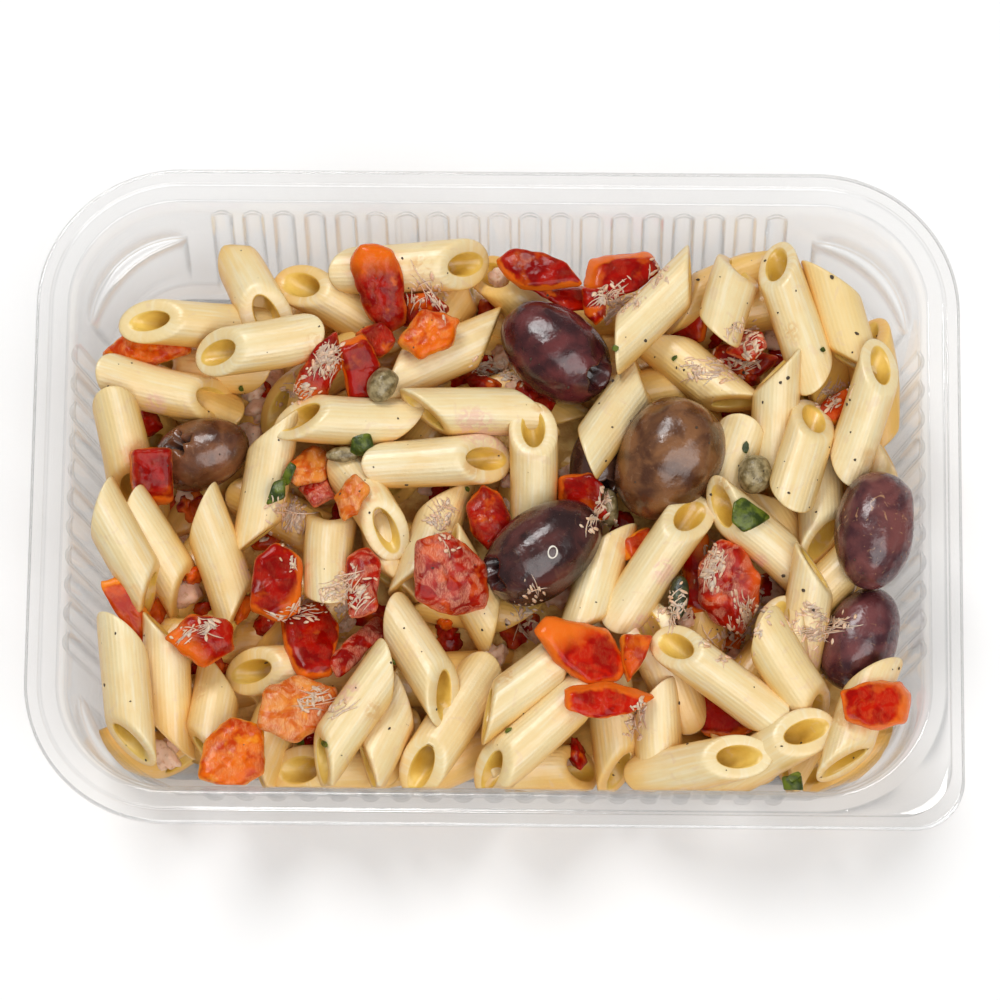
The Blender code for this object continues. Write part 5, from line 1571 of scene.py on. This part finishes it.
def pepper_material(name):
    """Red pepper and tomato: smooth wet skin or pulp with pale fibres, orange along the cut rim."""
    kind = CHIP_LOOKS.get(name, "skin")
    deep, bright, edge, fibre, amount = PEPPER_COLOURS[kind]
    blotch, ripple, pit, wet = PULP_LOOK if kind in PULPS else SKIN_LOOK
    look = Look(name + "_flesh")
    look.colour = look.mix(look.patches(4.0, 4.0, 0.38, 0.62, distortion=0.6), deep, bright)
    rim = look.plus(look.value("rim"), look.times(look.noise(3.4, 3.0), 0.9))
    look.cover(look.times(look.patches(4.4, 3.0, 0.56, 0.7), blotch), edge)
    low, high = RIM_REACHES.get(kind, RIM_REACHES["pulp"] if kind in PULPS else RIM_REACHES["skin"])
    look.cover(look.times(look.span(rim, low, high), 0.9), edge)
    look.cover(look.value("fade"), edge)
    grain = look.noise(0.5, 6.0, stretch=(1.0, 0.3, 1.0), distortion=1.6)
    grain = look.span(grain, 0.3, 0.72, 0.2, 1.0)
    fibres = look.times(grain, look.patches(3.6, 6.0, 0.43, 0.56, distortion=1.2))
    look.cover(look.times(fibres, amount), fibre)
    look.bump(look.noise(ripple, 5.0, distortion=0.6), 0.15, 0.7)
    look.bump(look.noise(0.35, 3.0), pit, 0.7)
    soft = (0.3, (1.0, 0.12, 0.04), 0.0012)
    return look.finish(look.patches(1.6, 4.0, 0.3, 0.7, *wet), coat=(0.12, 0.05), soft=soft, specular=0.12)


def olive_material(name):
    deep, light, spotted = OLIVE_LOOKS[name]
    look = Look(name + "_skin")
    look.colour = look.mix(look.patches(6.0, 5.0, 0.35, 0.65, distortion=0.5), deep, light)
    crack = look.patches(3.4, 6.0, 0.62, 0.7, distortion=2.5)
    look.cover(look.times(crack, spotted), OLIVE_FLESH)
    # Painted shade: the pit hole is coloured nearly black
    look.cover(look.span(look.value("hole"), 0.1, 0.8), PIT_PAINTED_SHADE)
    look.bump(look.noise(4.0, 3.0), 0.5, 0.6)
    look.bump(look.noise(1.4, 4.0), 0.18, 0.6)
    look.bump(look.noise(0.4, 3.0), 0.035, 0.7)
    return look.finish(look.patches(2.6, 5.0, 0.3, 0.7, 0.12, 0.32), coat=(0.35, 0.1))


def caper_material(name):
    look = Look(name + "_skin")
    colours = CAPER_DARK if name == "caper_6" else CAPER_GREY
    look.colour = look.mix(look.patches(1.4, 5.0, 0.35, 0.65), *colours)
    look.bump(look.noise(0.9, 4.0), 0.4)
    return look.finish(0.32, coat=(0.25, 0.15))


def leaf_material(name):
    look = Look(name + "_green")
    look.colour = look.mix(look.patches(2.0, 4.0, 0.35, 0.65), *LEAF_COLOURS)
    look.cover(look.times(look.span(look.value("rim"), 0.95, 1.0), 0.5), LEAF_CUT)
    look.bump(look.noise(0.8, 4.0), 0.25)
    return look.finish(0.3, coat=(0.15, 0.1), specular=0.3)


def speck_material():
    look = Look("ground_pepper")
    look.colour = look.mix(look.noise(0.4), *SPECK_COLOURS)
    look.bump(look.noise(0.2), 0.1)
    return look.finish(0.6)


@functools.cache
def tuna_material():
    look = Look("tuna_flesh")
    look.colour = look.mix(look.value("tone"), TUNA_PALE, TUNA_DEEP)
    look.cover(look.patches(1.0, 5.0, 0.5, 0.75), TUNA_BROWN)
    look.bump(look.noise(0.5, 4.0), 0.04)
    return look.finish(0.4, soft=(0.5, (1.0, 0.6, 0.4), 0.001))


def onion_material():
    look = Look("onion_flesh")
    look.colour = look.mix(look.noise(0.6), *ONION_COLOURS)
    look.bump(look.noise(0.5), 0.08)
    return look.finish(0.3)


def plastic_material():
    """Clear sheet: see-through, a little greyer where it is seen edge on, with painted dark lines where it
    bends, and with clear reflections.
    """
    look = Look("clear_plastic")
    facing = look.add("LayerWeight", {"Blend": 0.5}).outputs["Facing"]
    haze = look.patches(30.0, 3.0, 0.3, 0.7, 0.0, 0.02)
    look.colour = look.mix(look.span(facing, 0.74, 1.0), PLASTIC_CLEAR, PLASTIC_EDGE)
    bend = look.value("bend")
    # Painted shade: darker grey lines where the sheet bends
    look.cover(look.span(bend, 0.1, 0.8), PLASTIC_BEND)
    clear = look.add("BsdfTransparent", {"Color": look.colour})
    look.bump(look.noise(6.0, 2.0), 0.1, 0.4)
    gloss = look.add("BsdfGlossy", {"Color": WHITE, "Roughness": 0.04, "Normal": look.normal})
    milk = look.add("BsdfDiffuse", {"Color": (*PLASTIC_MILK, 1.0)})
    graze = look.math("POWER", facing, 5.0)
    shine = look.plus(look.times(graze, PLASTIC_SHINE[1]), PLASTIC_SHINE[0])
    shine = look.plus(shine, look.times(look.span(bend, 0.3, 1.0), PLASTIC_SHINE[2]))
    shiny = look.add("MixShader", {0: shine, 1: clear.outputs[0], 2: gloss.outputs[0]})
    whole = look.add("MixShader", {0: look.plus(haze, HAZE), 1: shiny.outputs[0], 2: milk.outputs[0]})
    # Lamps shine through without a shadow
    lamps_pass = look.add("BsdfTransparent", {"Color": WHITE})
    shadow = look.add("LightPath").outputs["Is Shadow Ray"]
    lit = look.add("MixShader", {0: shadow, 1: whole.outputs[0], 2: lamps_pass.outputs[0]})
    look.add("OutputMaterial", {"Surface": lit.outputs[0]})
    return look.material


def floor_material():
    look = Look("floor")
    look.colour = look.mix(look.noise(60.0, 4.0), *FLOOR_COLOURS)
    look.bump(look.noise(1.5, 4.0), 0.02)
    return look.finish(0.7)


# Studio


def make_floor():
    """A plain pale floor."""
    bm = bmesh.new()
    bmesh.ops.create_grid(bm, x_segments=8, y_segments=8, size=FLOOR_REACH)
    mesh = bpy.data.meshes.new("floor")
    bm.to_mesh(mesh)
    bm.free()
    mesh.materials.append(floor_material())
    floor = bpy.data.objects.new("floor", mesh)
    bpy.context.scene.collection.objects.link(floor)


def make_light(name, place, size, power):
    """A soft square light that faces the salad."""
    light = bpy.data.lights.new(name, "AREA")
    light.shape = "RECTANGLE"
    light.size, light.size_y = size
    light.energy = power
    lamp = bpy.data.objects.new(name, light)
    lamp.location = place
    lamp.rotation_euler = (Vector(LIGHT_AIM) - Vector(place)).to_track_quat("-Z", "Y").to_euler()
    bpy.context.scene.collection.objects.link(lamp)


def make_studio():
    """A pale floor, soft lights and surroundings that are brighter overhead."""
    make_floor()
    world = bpy.data.worlds.new("studio")
    world.use_nodes = True
    tree = world.node_tree
    back = tree.nodes["Background"]
    split = tree.nodes.new("ShaderNodeSeparateXYZ")
    rise = tree.nodes.new("ShaderNodeMapRange")
    rise.inputs["To Min"].default_value, rise.inputs["To Max"].default_value = WORLD_LIGHT
    tree.links.new(tree.nodes.new("ShaderNodeTexCoord").outputs["Generated"], split.inputs[0])
    tree.links.new(split.outputs["Z"], rise.inputs["Value"])
    tree.links.new(rise.outputs["Result"], back.inputs["Strength"])
    back.inputs["Color"].default_value = WHITE
    scene = bpy.context.scene
    scene.world = world
    scene.view_settings.view_transform = "Standard"
    for name, place, size, power in LIGHTS:
        make_light(name, place, size, power)


def make_camera():
    """The picture is taken almost from above, with a long lens and the tray's long side nearly level."""
    elevation, azimuth, roll = (math.radians(angle) for angle in CAMERA_ANGLES)
    level = math.cos(elevation)
    back = Vector((math.sin(azimuth) * level, -math.cos(azimuth) * level, math.sin(elevation)))
    right = (-back).cross(Vector((0, 0, 1))).normalized()
    up = right.cross(-back)
    side = math.cos(roll) * right + math.sin(roll) * up
    top = math.cos(roll) * up - math.sin(roll) * right
    data = bpy.data.cameras.new("camera")
    data.sensor_width = SENSOR
    data.lens = SENSOR * CAMERA_ZOOM
    camera = bpy.data.objects.new("camera", data)
    place = Matrix.Translation((Vector(CAMERA_AIM) + back * CAMERA_DISTANCE) * MM)
    camera.matrix_world = place @ Matrix((side, top, back)).transposed().to_4x4()
    bpy.context.scene.collection.objects.link(camera)
    bpy.context.scene.camera = camera


def main():
    make_camera()
    make_studio()
    salad = Salad()
    salad.settle()
    tinting = colouring(salad)
    make_tray()
    food = [make_core(), make_lower_penne(salad, tinting), *make_penne(salad, tinting)]
    food += [*make_chips(salad), *make_olives(salad)]
    food += make_scraps(Surface(food))
    surface = Surface(food)
    make_tuna(surface)
    make_herbs(surface)
    make_onion(surface)
    make_specks(surface)


main()
